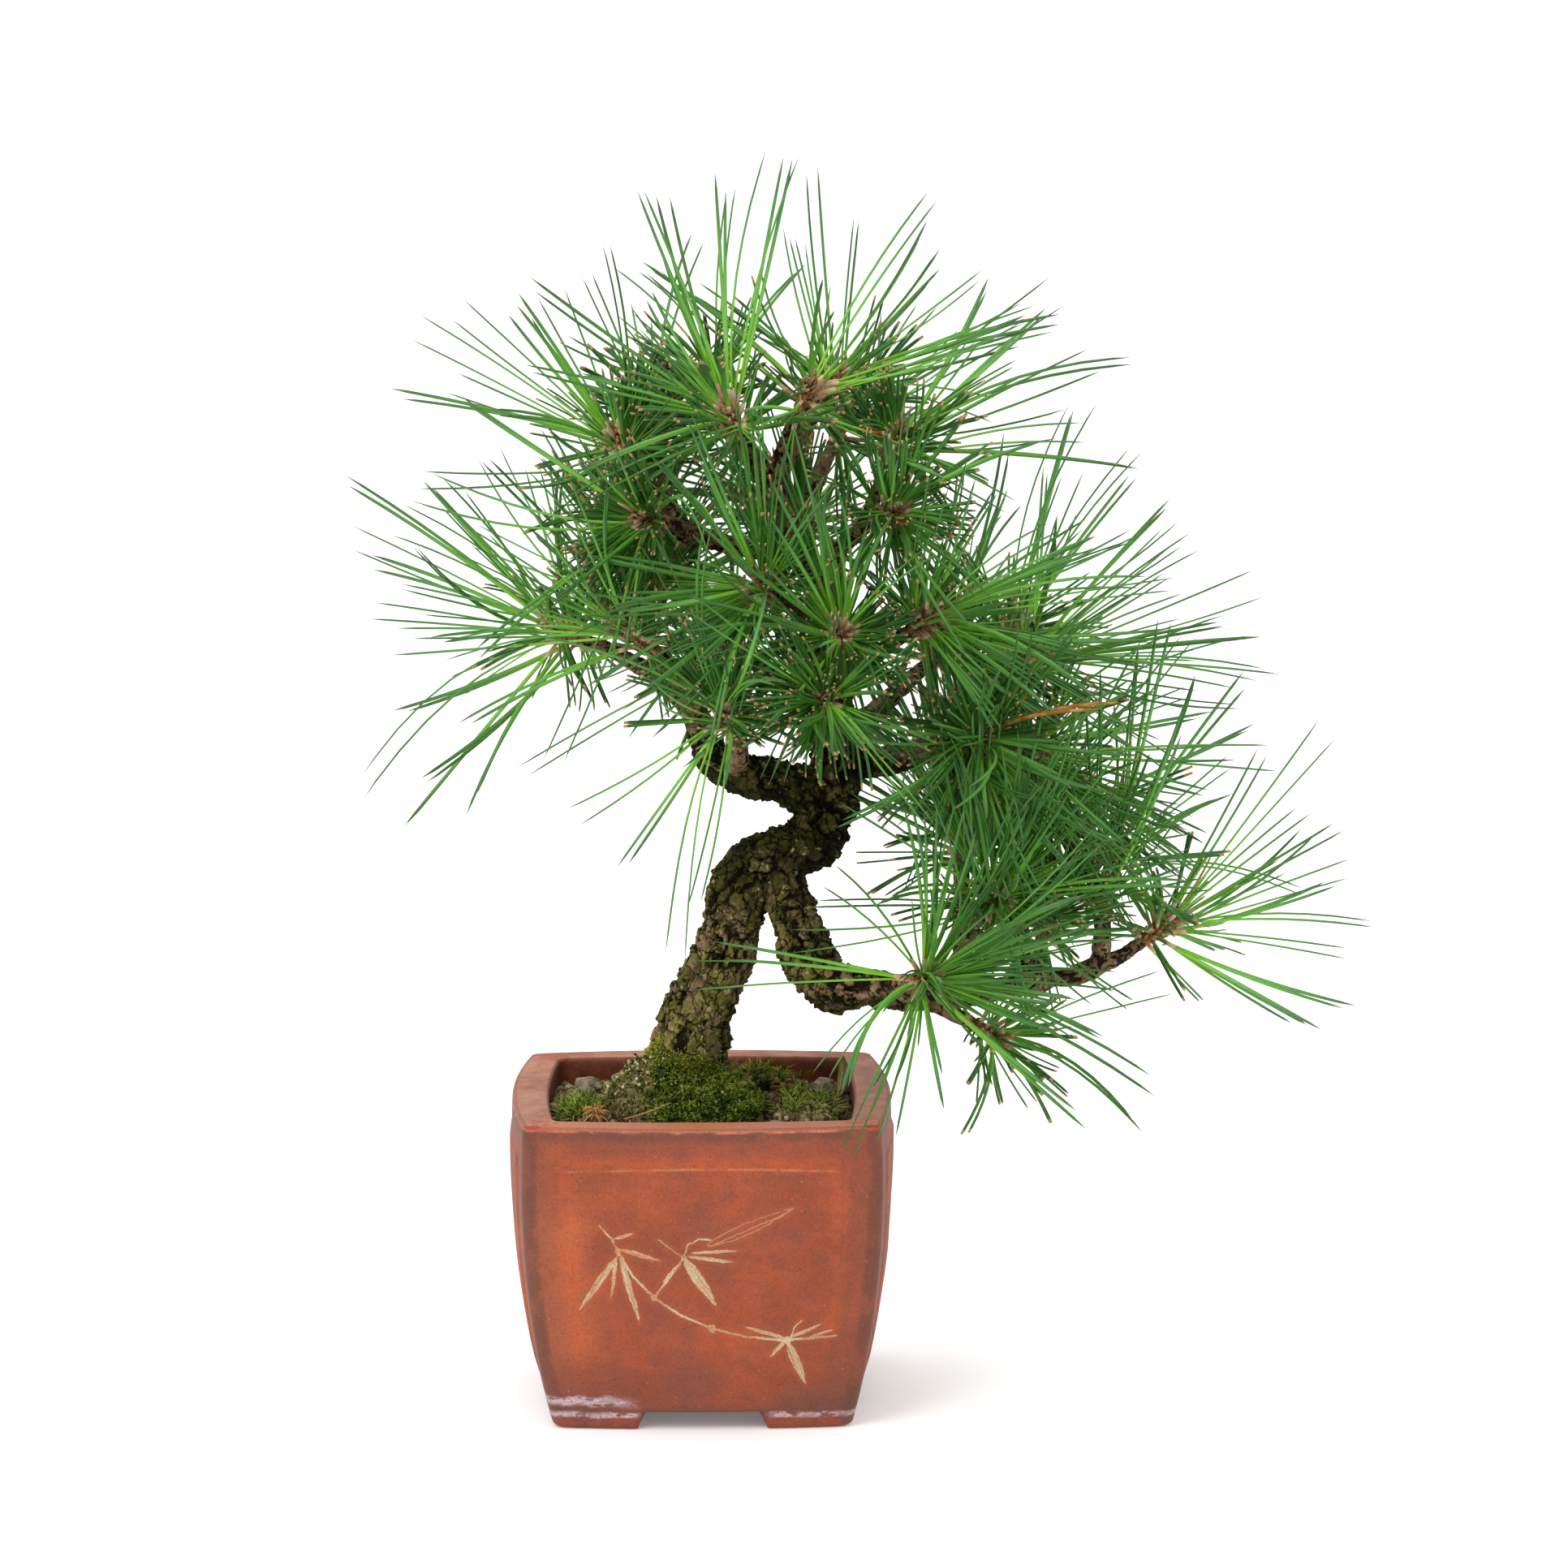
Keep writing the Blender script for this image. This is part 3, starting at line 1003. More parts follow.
# The tree's branches, as (x, y, z, radius) in millimetres from the trunk's foot on the soil line.
BRANCHES = {
    "trunk": [
        (0, 1, -15, 15.0), (0, 0, 0, 15.5), (2, 0, 16, 13.4), (4, -1, 30, 11.8), (9, -2, 44, 10.9),
        (14, -3, 55, 10.6), (17, -4, 64, 10.0), (19, -6, 74, 9.8), (23, -7, 83, 9.6), (32, -7, 88, 9.3),
        (41, -5, 91, 9.3), (47, -1, 99, 9.2), (50, 2, 109, 9.0), (51, 4, 120, 8.2), (50, 6, 133, 6.8),
        (48, 5, 151, 5.3), (46, 2, 170, 4.5), (42, -3, 183, 4.1), (33, -7, 192, 3.7), (31, -9, 206, 3.3),
        (34, -12, 221, 2.8), (38, -15, 232, 2.3),
    ],
    "root_front": [(2, -5, 4, 8), (4, -16, 0, 6), (9, -25, -7, 4), (12, -30, -14, 3)],
    "root_left": [(-5, 0, 4, 8), (-15, 2, -1, 5.5), (-22, 4, -8, 4), (-26, 5, -15, 3)],
    "root_right": [(6, 2, 4, 8), (16, 5, 0, 6), (24, 7, -6, 4.5), (32, 10, -14, 3)],
    "root_back": [(0, 6, 3, 8), (-3, 17, -2, 5.5), (-6, 24, -9, 4), (-8, 28, -16, 3)],
    "left_low": [
        (45, 0, 106, 8.0), (33, -6, 112, 7.8), (20, -12, 115, 7.0), (10, -14, 122, 5.4), (5, -17, 136, 4.2),
        (1, -20, 146, 3.5), (-5, -23, 154, 2.9), (-9, -26, 158, 2.3),
    ],
    "left_low_front": [(18, -12, 116, 4.5), (19, -24, 124, 3.2), (19, -32, 132, 2.6), (17, -39, 136, 2.2)],
    "left_low_tip": [(4, -17, 138, 3.6), (-9, -11, 148, 2.9), (-22, -7, 155, 2.5), (-30, -6, 158, 2.2)],
    "left_low_up": [(-4, -22, 152, 2.9), (-8, -9, 155, 2.6), (-11, 1, 157, 2.4), (-12, 6, 162, 2.1)],
    "left_high": [
        (41, -3, 183, 3.8), (28, 2, 186, 3.4), (12, 5, 189, 3.0), (-3, 6, 194, 2.7), (-10, 6, 203, 2.4),
        (-15, 5, 213, 2.1),
    ],
    "left_high_back": [(4, 5, 191, 2.8), (-4, 15, 200, 2.5), (-6, 25, 210, 2.3), (-7, 30, 220, 2.1)],
    "left_high_front": [(10, 5, 190, 2.8), (3, -5, 194, 2.5), (-4, -13, 197, 2.1)],
    "right_high": [(46, 1, 172, 3.8), (52, -4, 188, 3.0), (60, -6, 196, 2.7), (64, -7, 207, 2.3), (67, -8, 215, 2.1)],
    "right_high_front": [(56, -5, 192, 2.8), (60, -14, 196, 2.4), (64, -21, 199, 2.1)],
    "right_upper": [(51, 4, 136, 4.4), (59, -5, 149, 3.0), (68, -10, 157, 2.6), (74, -14, 162, 2.2)],
    "centre_upper": [(49, 5, 144, 4.2), (51, -7, 151, 3.0), (52, -18, 157, 2.5), (52, -25, 160, 2.2)],
    "centre_left": [(47, 3, 164, 3.8), (41, -9, 167, 2.8), (35, -19, 171, 2.3), (31, -26, 175, 2.1)],
    "centre_front": [(51, 2, 128, 5.0), (50, -14, 134, 3.2), (49, -27, 140, 2.5), (48, -34, 142, 2.2)],
    "right_mid": [
        (52, 4, 117, 6.0), (68, 8, 116, 4.8), (82, 10, 120, 3.8), (93, 6, 124, 3.1), (101, 2, 124, 2.6),
        (106, -1, 123, 2.2),
    ],
    "right_mid_front": [(88, 8, 122, 3.1), (92, -5, 125, 2.5), (94, -14, 127, 2.2)],
    "right_mid_back": [(80, 10, 119, 3.6), (92, 18, 128, 2.8), (101, 22, 138, 2.4), (107, 23, 142, 2.1)],
    "right_mid_far": [(91, 17, 127, 2.8), (101, 33, 139, 2.3), (107, 42, 147, 2.0)],
    "low": [
        (31, -6, 84, 7.4), (37, -11, 72, 7.3), (40, -15, 61, 8.5), (44, -20, 51, 8.4), (52, -22, 46, 7.3),
        (63, -22, 46, 6.2), (75, -20, 43, 5.3), (96, -14, 43, 4.1), (117, -8, 46, 3.5), (134, -4, 48, 3.0),
        (138, -4, 57, 2.6), (137, -6, 67, 2.3),
    ],
    "low_front": [(66, -22, 47, 4.6), (70, -34, 50, 3.4), (74, -45, 53, 2.7), (76, -53, 55, 2.3)],
    "low_under": [(80, -18, 43, 3.8), (87, -27, 40, 2.8), (94, -33, 37, 2.2)],
    "low_rise": [(96, -14, 44, 3.7), (92, -9, 56, 3.0), (92, -4, 70, 2.6), (93, 3, 84, 2.2)],
    "low_rise_front": [(92, -7, 60, 2.9), (96, -14, 66, 2.4), (99, -20, 71, 2.1)],
    "low_middle": [(116, -8, 46, 3.2), (117, -9, 54, 2.6), (118, -12, 61, 2.2)],
    "low_middle_back": [(113, -8, 46, 3.2), (112, 4, 60, 2.7), (114, 12, 74, 2.4), (117, 15, 86, 2.1)],
    "low_tip": [(132, -4, 48, 2.8), (143, -3, 52, 2.5), (151, -1, 57, 2.1)],
    "low_top_back": [(138, -4, 57, 2.6), (140, 5, 68, 2.3), (142, 9, 77, 2.0)],
    "back_left": [(49, 5, 126, 5.0), (42, 22, 133, 3.4), (32, 38, 139, 2.7), (24, 47, 143, 2.2)],
    "back_right": [(51, 5, 122, 5.0), (64, 26, 129, 3.6), (76, 44, 137, 2.8), (84, 54, 142, 2.2)],
    "back_high": [(47, 4, 160, 4.0), (46, 22, 172, 2.9), (43, 36, 182, 2.4), (41, 43, 187, 2.1)],
    "top_back": [(38, -5, 188, 3.6), (43, 8, 202, 2.7), (48, 19, 213, 2.3), (51, 24, 219, 2.0)],
    "top_left": [(31, -9, 205, 3.0), (27, -13, 216, 2.4), (22, -17, 224, 2.1)],
    "top_left_back": [(32, -8, 202, 3.0), (25, 3, 214, 2.5), (19, 10, 226, 2.2), (15, 13, 234, 2.0)],
    "top_right_back": [(33, -11, 214, 2.6), (40, -2, 224, 2.3), (46, 4, 234, 2.0)],
}  # fmt: skip

WOOD_VOXEL = 0.00078
# So many points of the wood are worked out at once, to spare memory.
POINTS_AT_ONCE = 6000
# Two branches run into one another over about this distance.
WOOD_BLEND = 0.0009
# Fissures are deepest on wood of the greater radius and shallowest on wood of the lesser.
ROUGHEST, SMOOTHEST = 0.0096, 0.0022


def smooth_line(points, steps):
    """A Catmull-Rom curve through the points: each span is the usual cubic of its four nearest points."""
    padded = np.vstack([2 * points[0] - points[1], points, 2 * points[-1] - points[-2]])
    t = np.arange(steps)[:, None] / steps
    spans = [
        0.5 * (2 * b + (c - a) * t + (2 * a - 5 * b + 4 * c - d) * t**2 + (3 * b - a - 3 * c + d) * t**3)
        for a, b, c, d in zip(padded, padded[1:], padded[2:], padded[3:])
    ]
    return np.vstack([*spans, points[-1:]])


def bark_size(radius):
    """How wide a bark plate is on wood of this radius."""
    return 0.0018 * np.sqrt(radius / MM)


def wood_spans():
    """Every branch cut into short spans: ends, radii, place along it in plate lengths, two cross directions, branch."""
    rows = []
    for number, listed in enumerate(BRANCHES.values()):
        line = smooth_line(np.array(listed, float) * MM, 3)
        places, radii = line[:, :3] + FOOT, line[:, 3]
        step = np.linalg.norm(np.diff(places, axis=0), axis=1)
        mid = (radii[1:] + radii[:-1]) / 2
        run = np.concatenate([[0], np.cumsum(step / (1.4 * bark_size(mid)))]) + 31.7 * number
        ahead = unit(np.diff(places, axis=0))
        across = unit(np.cross(ahead, OBLIQUE))
        other = np.cross(ahead, across)
        names = np.full((len(step), 1), number)
        paired = np.column_stack([radii[:-1], radii[1:], run[:-1], run[1:]])
        rows.append(np.hstack([places[:-1], places[1:], paired, across, other, names]))
    return np.vstack(rows)


def wood_field(points, spans):
    """For each point: distance to the rounded wood, plate coordinates, radius, and how far it is from a fork.

    The distance is a smooth least, -k log(sum(exp(-d / k))), over the branches' own distances d.
    """
    a, b, names = spans[:, 0:3], spans[:, 3:6], spans[:, 16].astype(int)
    first = np.flatnonzero(np.diff(names, prepend=-1))
    along = b - a
    reach = np.einsum("ij,ij->i", along, along)
    found = []
    for some in np.array_split(points, max(len(points) // POINTS_AT_ONCE, 1)):
        apart = some[:, None] - a[None]
        t = np.clip(np.einsum("ijk,jk->ij", apart, along) / reach, 0, 1)
        offset = apart - t[..., None] * along[None]
        radius = spans[None, :, 6] * (1 - t) + spans[None, :, 7] * t
        away = np.linalg.norm(offset, axis=2) - radius
        least = np.minimum.reduceat(away, first, axis=1)
        surface = -WOOD_BLEND * np.log(np.exp(-np.clip(least, -0.03, 0.03) / WOOD_BLEND).sum(axis=1))
        best = away.argmin(axis=1)
        row = np.arange(len(some))
        ranked = np.sort(least, axis=1)
        size = bark_size(radius[row, best])
        run = spans[best, 8] * (1 - t[row, best]) + spans[best, 9] * t[row, best]
        cross = [np.einsum("ij,ij->i", offset[row, best], spans[best, k : k + 3]) / size for k in (10, 13)]
        found.append(np.column_stack([surface, run, *cross, radius[row, best], ranked[:, 1] - ranked[:, 0]]))
    found = np.vstack(found)
    return found[:, 0], found[:, 1:4], found[:, 4], found[:, 5]


def even_skin(node, voxel):
    """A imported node's shape as one even mesh of small quads: (points, quads). Its own points are merged first."""
    source = bpy.data.meshes.new("source")
    places, faces = read_mesh(node)
    source.from_pydata(places.tolist(), [], faces.tolist())
    carrier = placed("carrier", source)
    remesh = carrier.modifiers.new("even", "REMESH")
    remesh.mode, remesh.voxel_size = "VOXEL", voxel
    graph = bpy.context.evaluated_depsgraph_get()
    made = bpy.data.meshes.new_from_object(carrier.evaluated_get(graph))
    bpy.data.objects.remove(carrier)
    points, corners = mesh_arrays(made)
    bpy.data.meshes.remove(made)
    faces = corners.reshape(-1, 4)
    return points, faces[:, ::-1] if volume(points, faces) < 0 else faces


def normals_of(points, faces):
    """Unit normals at the points: the sum of the cross products of each quad's diagonals round them."""
    cross = np.cross(points[faces[:, 2]] - points[faces[:, 0]], points[faces[:, 3]] - points[faces[:, 1]])
    total = np.zeros_like(points)
    for column in faces.T:
        for axis in range(3):
            total[:, axis] += np.bincount(column, cross[:, axis], len(points))
    return unit(total)


def bark_relief(plate, fork):
    """(height, crack, tone) of pine bark. Heights are shares of the deepest fissure, from about -1 to 0.8.

    Plates are the cells round scattered points, pushed about by noise. The gap between the two nearest points
    makes fissures, each plate leans by a noise of its own, a second set of cells makes flakes on the plates, and
    stepped noise makes layers.
    """
    pushed = plate + 0.42 * np.stack([waver(plate * 0.8, s) for s in (21, 22, 23)], axis=1)
    pushed = pushed + 0.26 * np.stack([waver(plate * 2.2, s) for s in (24, 25, 26)], axis=1)
    pushed = pushed + 0.11 * np.stack([waver(plate * 5.5, s) for s in (27, 28, 29)], axis=1)
    near, next_near, tone = cells(pushed, 31)
    open_crack = 0.35 + 0.65 * smooth(waver(plate * 0.7, 33), -0.5, 0.3)
    crack = (1 - smooth(next_near - near, 0.02, 0.21)) * open_crack
    lean = waver(pushed * 0.8 + (tone * 57.0)[:, None], 35)
    flake_near, flake_next, flake_tone = cells(pushed * 2.3 + 5.0, 47)
    flake = smooth(flake_next - flake_near, 0.0, 0.2)
    layers = rough(pushed * 1.3, 2, 51) * 2.0
    stepped = np.floor(layers) + smooth(layers - np.floor(layers), 0.35, 0.65)
    fuzz = rough(plate * 4.0, 3, 55)
    height = -1.3 * crack + 0.65 * lean + 0.35 * (tone - 0.5) + 0.36 * (flake_tone - 0.5) * flake - 0.20 * (1 - flake)
    height += 0.24 * stepped + 0.24 * fuzz
    calm = smooth(fork, 0.0, 0.0012)
    return height * (0.4 + 0.6 * calm), crack, 0.5 * tone + 0.5 * flake_tone


def moss_cover(points, ways):
    """How mossy the wood is, 0 to 1: a wavering line above the soil, higher in front and on the left."""
    height = points[:, 2] - SOIL_LEVEL
    front = -ways[:, 1] * 0.7 - ways[:, 0] * 0.3
    line = 0.0215 + 0.006 * front + 0.006 * rough(points / 0.009, 3, 91)
    return smooth(line - height, -0.0015, 0.0025)


def wood_part():
    """The wood's skin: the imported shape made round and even, then raised and cut by the bark's relief."""
    points, faces = even_skin("trunk_and_branches", WOOD_VOXEL)
    spans = wood_spans()
    for _ in range(2):
        surface, *_ = wood_field(points, spans)
        points = points - normals_of(points, faces) * np.clip(surface, -0.0012, 0.0012)[:, None]
    _, plate, radius, fork = wood_field(points, spans)
    height, crack, tone = bark_relief(plate, fork)
    depth = 0.00028 + 0.00165 * smooth(radius, SMOOTHEST, ROUGHEST)
    lumps = 0.0016 * smooth(radius, 0.003, 0.010) * rough(points / 0.015, 3, 81)
    ways = normals_of(points, faces)
    above = smooth(points[:, 2], SOIL_LEVEL - 0.004, SOIL_LEVEL + 0.004)
    moss = moss_cover(points, ways) * above
    points = points + ways * (depth * (height + 0.10) * above * (1 - 0.4 * moss) + lumps)[:, None]
    return {
        "points": points, "faces": faces, "crack": crack, "tone": tone, "girth": radius / MM, "lift": height,
        "facing": ways[:, 2], "east": ways[:, 0], "moss": moss,
    }  # fmt: skip


def bark_finish():
    """Old pine bark: grey brown plates, dark fissures, olive algae, tan flaked spots and a few pale lichens."""
    bark = Finish("bark", 0.08)
    crack, tone, girth, lift, facing, east, moss = bark.values("crack tone girth lift facing east moss")
    upper = bark.axis(2).rise(150, 180) * girth.rise(3.4, 6)
    mottle = bark.noise(5.5, 4, shift=4)
    patch = bark.noise(16, 4, shift=17)
    fine = bark.noise(0.9, 4, shift=29)
    grit = bark.noise(0.35, 3, shift=37)
    mixed = tone * 0.85 + bark.noise(2.6, 3, shift=43) * 0.7 - 0.27
    body = bark.ramp(mixed, (0.15, "594830"), (0.40, "7C6743"), (0.62, "957C56"), (0.9, "B49A6C"))
    bent = bark.node("ShaderNodeTexNoise", {}, {"Vector": bark.place(), "Scale": 0.4, "Detail": 3.0}, "Color")
    bent = bark.node("ShaderNodeVectorMath", {"operation": "SCALE"}, {0: bent, "Scale": 4.0})
    bent = bark.node("ShaderNodeVectorMath", {"operation": "ADD"}, {0: bark.place((1.0, 1.0, 0.75)), 1: bent})
    plates = {"Vector": bent, "Scale": 0.21}
    split = bark.node("ShaderNodeTexVoronoi", {"feature": "DISTANCE_TO_EDGE"}, plates)
    plate = bark.node("ShaderNodeSeparateColor", {}, {0: bark.voronoi("Color", **plates)})
    split = split.rise(0.065, 0.012) * girth.rise(3.0, 5.5)
    algae = patch + (mottle - 0.5) * 0.9 + (fine - 0.5) * 0.35 + facing * 0.04 - (plate - 0.5) * 0.35
    algae = algae.rise(0.40, 0.56) * girth.rise(3.4, 7)
    tan = bark.noise(3.0, 4, shift=51).rise(0.60, 0.70) * (lift + 0.5).rise(0.3, 0.8)
    flecks = bark.noise(1.7, 4, shift=77)
    pale = (flecks + (tone - 0.5) * 0.2).rise(0.58, 0.68) * (lift + 0.4).rise(0.2, 0.7)
    shaded = facing.rise(-0.05, -0.8).at_least(east.rise(0.25, 0.95) * 0.75) * girth.rise(3.0, 5.0)
    lichen = bark.noise(3.6, 4, shift=63).rise(0.68, 0.73) * girth.rise(5, 8)
    body = bark.coats(
        body,
        (mottle.rise(0.42, 0.70) * 0.55, "6A583E"),
        (plate.rise(0.45, 0.75) * 0.6, "9E8364"),
        (algae * 0.80, bark.mix(fine, "52541C", "8C883C")),
        (tan * 0.75, bark.mix(fine, "9C8058", "C2A878")),
        (girth.rise(4.2, 2.4) * 0.7, bark.mix(mottle, "67503A", "93775A")),
        (upper * (mottle.rise(0.25, 0.6) * 0.32 + 0.60), bark.mix(fine, "1F2508", "3F4311")),
        (crack.rise(0.15, 0.65) * 0.94, "120E07"),
        (lift.rise(-0.25, -0.85) * 0.45, "221A0F"),
        (fine.rise(0.48, 0.30) * 0.40, "2E2417"),
        (split * (mottle.rise(0.30, 0.5) * 0.35 + 0.60), "120E07"),
        (flecks.rise(0.47, 0.36) * 0.45, "1F1A0E"),
        (pale * 0.75, "BCAB72"),
        (shaded * 0.66, "1C2009"),
        (lichen * 0.7, "9FA78A"),
        ((moss + (fine - 0.5) * 0.5).rise(0.3, 0.7) * 0.9, bark.mix(fine, "2C3410", "6A7428")),
    )
    height = fine * 0.6 + grit * 0.25 + mottle * 0.15 - crack * 0.3 - split * 0.8 + plate * 0.3
    return bark.wears(Base_Color=body, Roughness=0.93 - tone * 0.12, Normal=bark.bump(height, 0.6))


def make_wood():
    """The finished wood. Its skin is handed on for the moss that climbs it."""
    part = wood_part()
    new_piece("pine_wood", [part], [bark_finish()], ["trunk_and_branches"])
    return part


# ---------------------------------------------------------------- soil and stones

SOIL_CLEARANCE = 0.0003
# The middle of the moss mound, from the pot's middle, and its radius.
MOUND_X, MOUND_Y, MOUND_HALF = -0.0050, -0.0171, 0.025
# Soil crumbs, coarse ones last: how many, their radii, how finely they are cut and how pale they are.
CRUMBS = [(2600, (0.0004, 0.0011), 1, 0.35), (720, (0.0009, 0.0022), 2, 0.65)]


def soil_height(x, y):
    """Height of the soil at places from the pot's middle: a bell mound round the trunk, a little lower behind."""
    apart = ((x - TRUNK_X) ** 2 + y**2) / SOIL_MOUND_SPREAD**2
    return SOIL_LEVEL + SOIL_MOUND * np.exp(-apart) - SOIL_BACK_DROP * np.tanh(y / SOIL_MOUND_SPREAD)


def soil_bed():
    """The soil's skin: rings up the pot's wall, then inwards over a surface of packed crumbs, closed at both ends."""
    columns = square_columns([np.linspace(-1, 1, 90)] * 4)
    base = FLOOR_TOP + SOIL_CLEARANCE
    ring = inner_ring(columns, base, SOIL_CLEARANCE)
    rings = [np.column_stack([ring * share, np.full(len(ring), base)]) for share in (0.05, 0.4, 0.75)]
    for z in np.linspace(base, WIDEST_HEIGHT - SOIL_CLEARANCE, 6):
        rings.append(np.column_stack([inner_ring(columns, z, SOIL_CLEARANCE), np.full(len(ring), z)]))
    edge = inner_ring(columns, POT_HEIGHT, SOIL_CLEARANCE)
    for share in np.linspace(1, 0.02, 72):
        x, y = (edge * share).T
        where = np.column_stack([x, y, x * 0])
        near, _, tone = cells(where / 0.0019, 12)
        small, _, _ = cells(where / 0.0008, 14)
        crumbs = 0.0007 * (0.5 - near) * (0.5 + tone) + 0.00028 * (0.5 - small) + 0.0006 * rough(where / 0.008, 3, 16)
        rings.append(np.column_stack([x, y, soil_height(x, y) + crumbs * min(1.0, (1 - share) * 12)]))
    return {"points": np.stack(rings) + MIDDLE, "faces": tube_quads(len(rings), len(ring)), "tone": 0.25}


def strewn(count, rng):
    """Places on the soil, from the pot's middle: even over its square, away from the mound, trunk and walls."""
    x, y = rng.uniform(-0.975, 0.975, (count * 3, 2)).T * INNER_HALF
    bare = (np.hypot(x - MOUND_X, y - MOUND_Y) > MOUND_HALF * 0.88) & (np.hypot(x - TRUNK_X, y) > 0.012)
    x, y = x[bare][:count], y[bare][:count]
    return np.column_stack([x, y, soil_height(x, y)])


def pebbles(centres, size, subdivisions, stretch, dent, rng):
    """A small ball at each centre: stretched, dented by noise (depth, waves to its radius, seed) and turned."""
    form, faces = ball(subdivisions)
    many = len(centres)
    spin = turned(many, rng)
    shape = form[None] * rng.uniform(*stretch, (many, 3))[:, None]
    depth, waves, seed = dent
    shape = shape * (1 + depth * waver(form[None] * waves + rng.uniform(0, 90, (many, 1, 3)), seed))[..., None]
    points = np.einsum("nij,nkj->nki", spin, shape) * size[:, None, None] + centres[:, None]
    return {"points": points, "faces": repeated(faces, len(form), many)}


def soil_finish():
    """Crumbly potting soil: near black peat with brown crumbs, and grey and buff grains that are pale on top."""
    soil = Finish("potting_soil")
    tone, grain = soil.values("tone grain")
    mottle, fine = soil.noise(3.2, 4, shift=2), soil.noise(0.5, 4, shift=6)
    peat = soil.ramp(mottle, (0.3, "221A0E"), (0.55, "42341F"), (0.75, "5E4A31"))
    peat = soil.mix(soil.noise(6, 3, shift=11).rise(0.50, 0.68) * 0.7, peat, "3B4016")
    stone = soil.ramp(tone, (0.0, "3A2F20"), (0.35, "6E5838"), (0.6, "A48A5E"), (1.0, "DCC89C"))
    green = soil.noise(2.0, 3, shift=9).rise(0.52, 0.64)
    stone = soil.coats(stone, (fine.rise(0.35, 0.65) * 0.5, "5E5443"), (green * 0.5, "4F5722"))
    body = soil.mix(grain, peat, stone)
    return soil.wears(Base_Color=body, Roughness=0.97 - tone * 0.05, Normal=soil.bump(fine, 0.35))


def make_soil():
    rng = np.random.default_rng(SEED + 101)
    parts = [soil_bed()]
    for count, (least, most), subdivisions, pale in CRUMBS:
        where = strewn(count, rng)
        size = rng.random(len(where)) ** 2.2 * (most - least) + least
        centres = where + MIDDLE + size[:, None] * [0, 0, 0.35]
        part = pebbles(centres, size, subdivisions, ([0.8, 0.65, 0.5], [1.1, 1.0, 0.85]), (0.30, 1.7, 19), rng)
        left = smooth(-where[:, 0], -0.005, 0.030)
        tone = rng.uniform(0.05, 0.75, len(where)) * (0.65 + 0.5 * left) + pale * (0.10 + 0.35 * left)
        parts.append({**part, "tone": np.clip(tone, 0, 1)[:, None], "grain": 1.0})
    finish = soil_finish()
    new_piece("potting_soil", parts, [finish], ["soil"])
    return finish


def pumice_finish():
    """Pumice: pale grey buff, pitted with dark pores and dusted with soil low down."""
    stone = Finish("pumice_crumb")
    pore = stone.value("pore")
    mottle, fine = stone.noise(2.4, 4, shift=3), stone.noise(0.4, 4, shift=5)
    body = stone.ramp(mottle, (0.3, "6F6350"), (0.5, "92866E"), (0.7, "B5A890"))
    body = stone.coats(
        body,
        (fine.rise(0.5, 0.7) * 0.4, "6F6452"),
        (stone.noise(1.8, 3, shift=8).rise(0.55, 0.70) * 0.55, "5E5F33"),
        (pore.rise(0.3, 0.9) * 0.85, "3A3023"),
    )
    return stone.wears(Base_Color=body, Roughness=0.95 - pore * 0.1, Normal=stone.bump(fine, 0.3))


def make_stones():
    """Pumice crumbs: balls stretched to each packed stone's box, with flat broken sides and round pores."""
    form, faces = ball(5)
    finish = pumice_finish()
    for number, node in enumerate(sorted(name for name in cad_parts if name.startswith("pumice_"))):
        low, high = box_of(node)
        seed = 200 + 10 * number
        facets = unit(np.random.default_rng(seed).normal(size=(22, 3)))
        flat = np.minimum(1.0, 0.80 / np.maximum((form @ facets.T).max(axis=1), 0.05))
        near, _, _ = cells(form * 3.6, seed)
        pore = 1 - smooth(near, 0.12, 0.30)
        tall = flat * (1 + 0.10 * rough(form * 1.4, 3, seed + 1)) - 0.10 * pore + 0.02 * rough(form * 7, 2, seed + 2)
        points = form * tall[:, None] * (high - low) / 2 * 1.12 + (low + high) / 2
        part = {"points": points, "faces": faces, "pore": pore}
        new_piece(node.replace("pumice", "pumice_crumb"), [part], [finish], [node])


# ---------------------------------------------------------------- moss

MOSS_VOXEL = 0.0009
# Thin blades to a star of moss.
STAR_BLADES = 11
# Leaflets and lichen crumbs on the trunk's foot, and how high above the soil they may be.
TRUNK_LEAFLETS, TRUNK_LICHENS = 7500, 420
LEAFLETS_TOP, LICHENS_TOP = 0.042, 0.024
MOUND_LICHENS = 230


def cushion(node, lump, crown):
    """A packed cushion's skin, lumpy, and drawn up by crown where it meets the trunk."""
    points, faces = even_skin(node, MOSS_VOXEL)
    ways = normals_of(points, faces)
    top = smooth(ways[:, 2], 0.0, 0.6)
    apart = np.hypot(points[:, 0] - FOOT[0] + 0.006, points[:, 1] - FOOT[1])
    lift = lump * rough(points / 0.006, 3, 61) + 0.35 * lump * rough(points / 0.0018, 2, 65)
    points = points + ways * (lift * (0.2 + 0.8 * top))[:, None]
    points[:, 2] += crown * np.exp(-((apart / 0.016) ** 2)) * top
    return points, faces


def spots_on(points, faces, count, rng, chance):
    """Random places on a skin, more where its quads are larger and chance, one number per point, is higher."""
    a, b, c, d = (points[faces[:, k]] for k in range(4))
    area = np.linalg.norm(np.cross(c - a, d - b), axis=1) * chance[faces].mean(axis=1)
    pick = rng.choice(len(faces), count, p=area / area.sum())
    s, t = rng.random((2, count, 1))
    spots = (a[pick] * (1 - s) + b[pick] * s) * (1 - t) + (d[pick] * (1 - s) + c[pick] * s) * t
    return spots, unit(normals_of(points, faces)[faces[pick]].mean(axis=1))


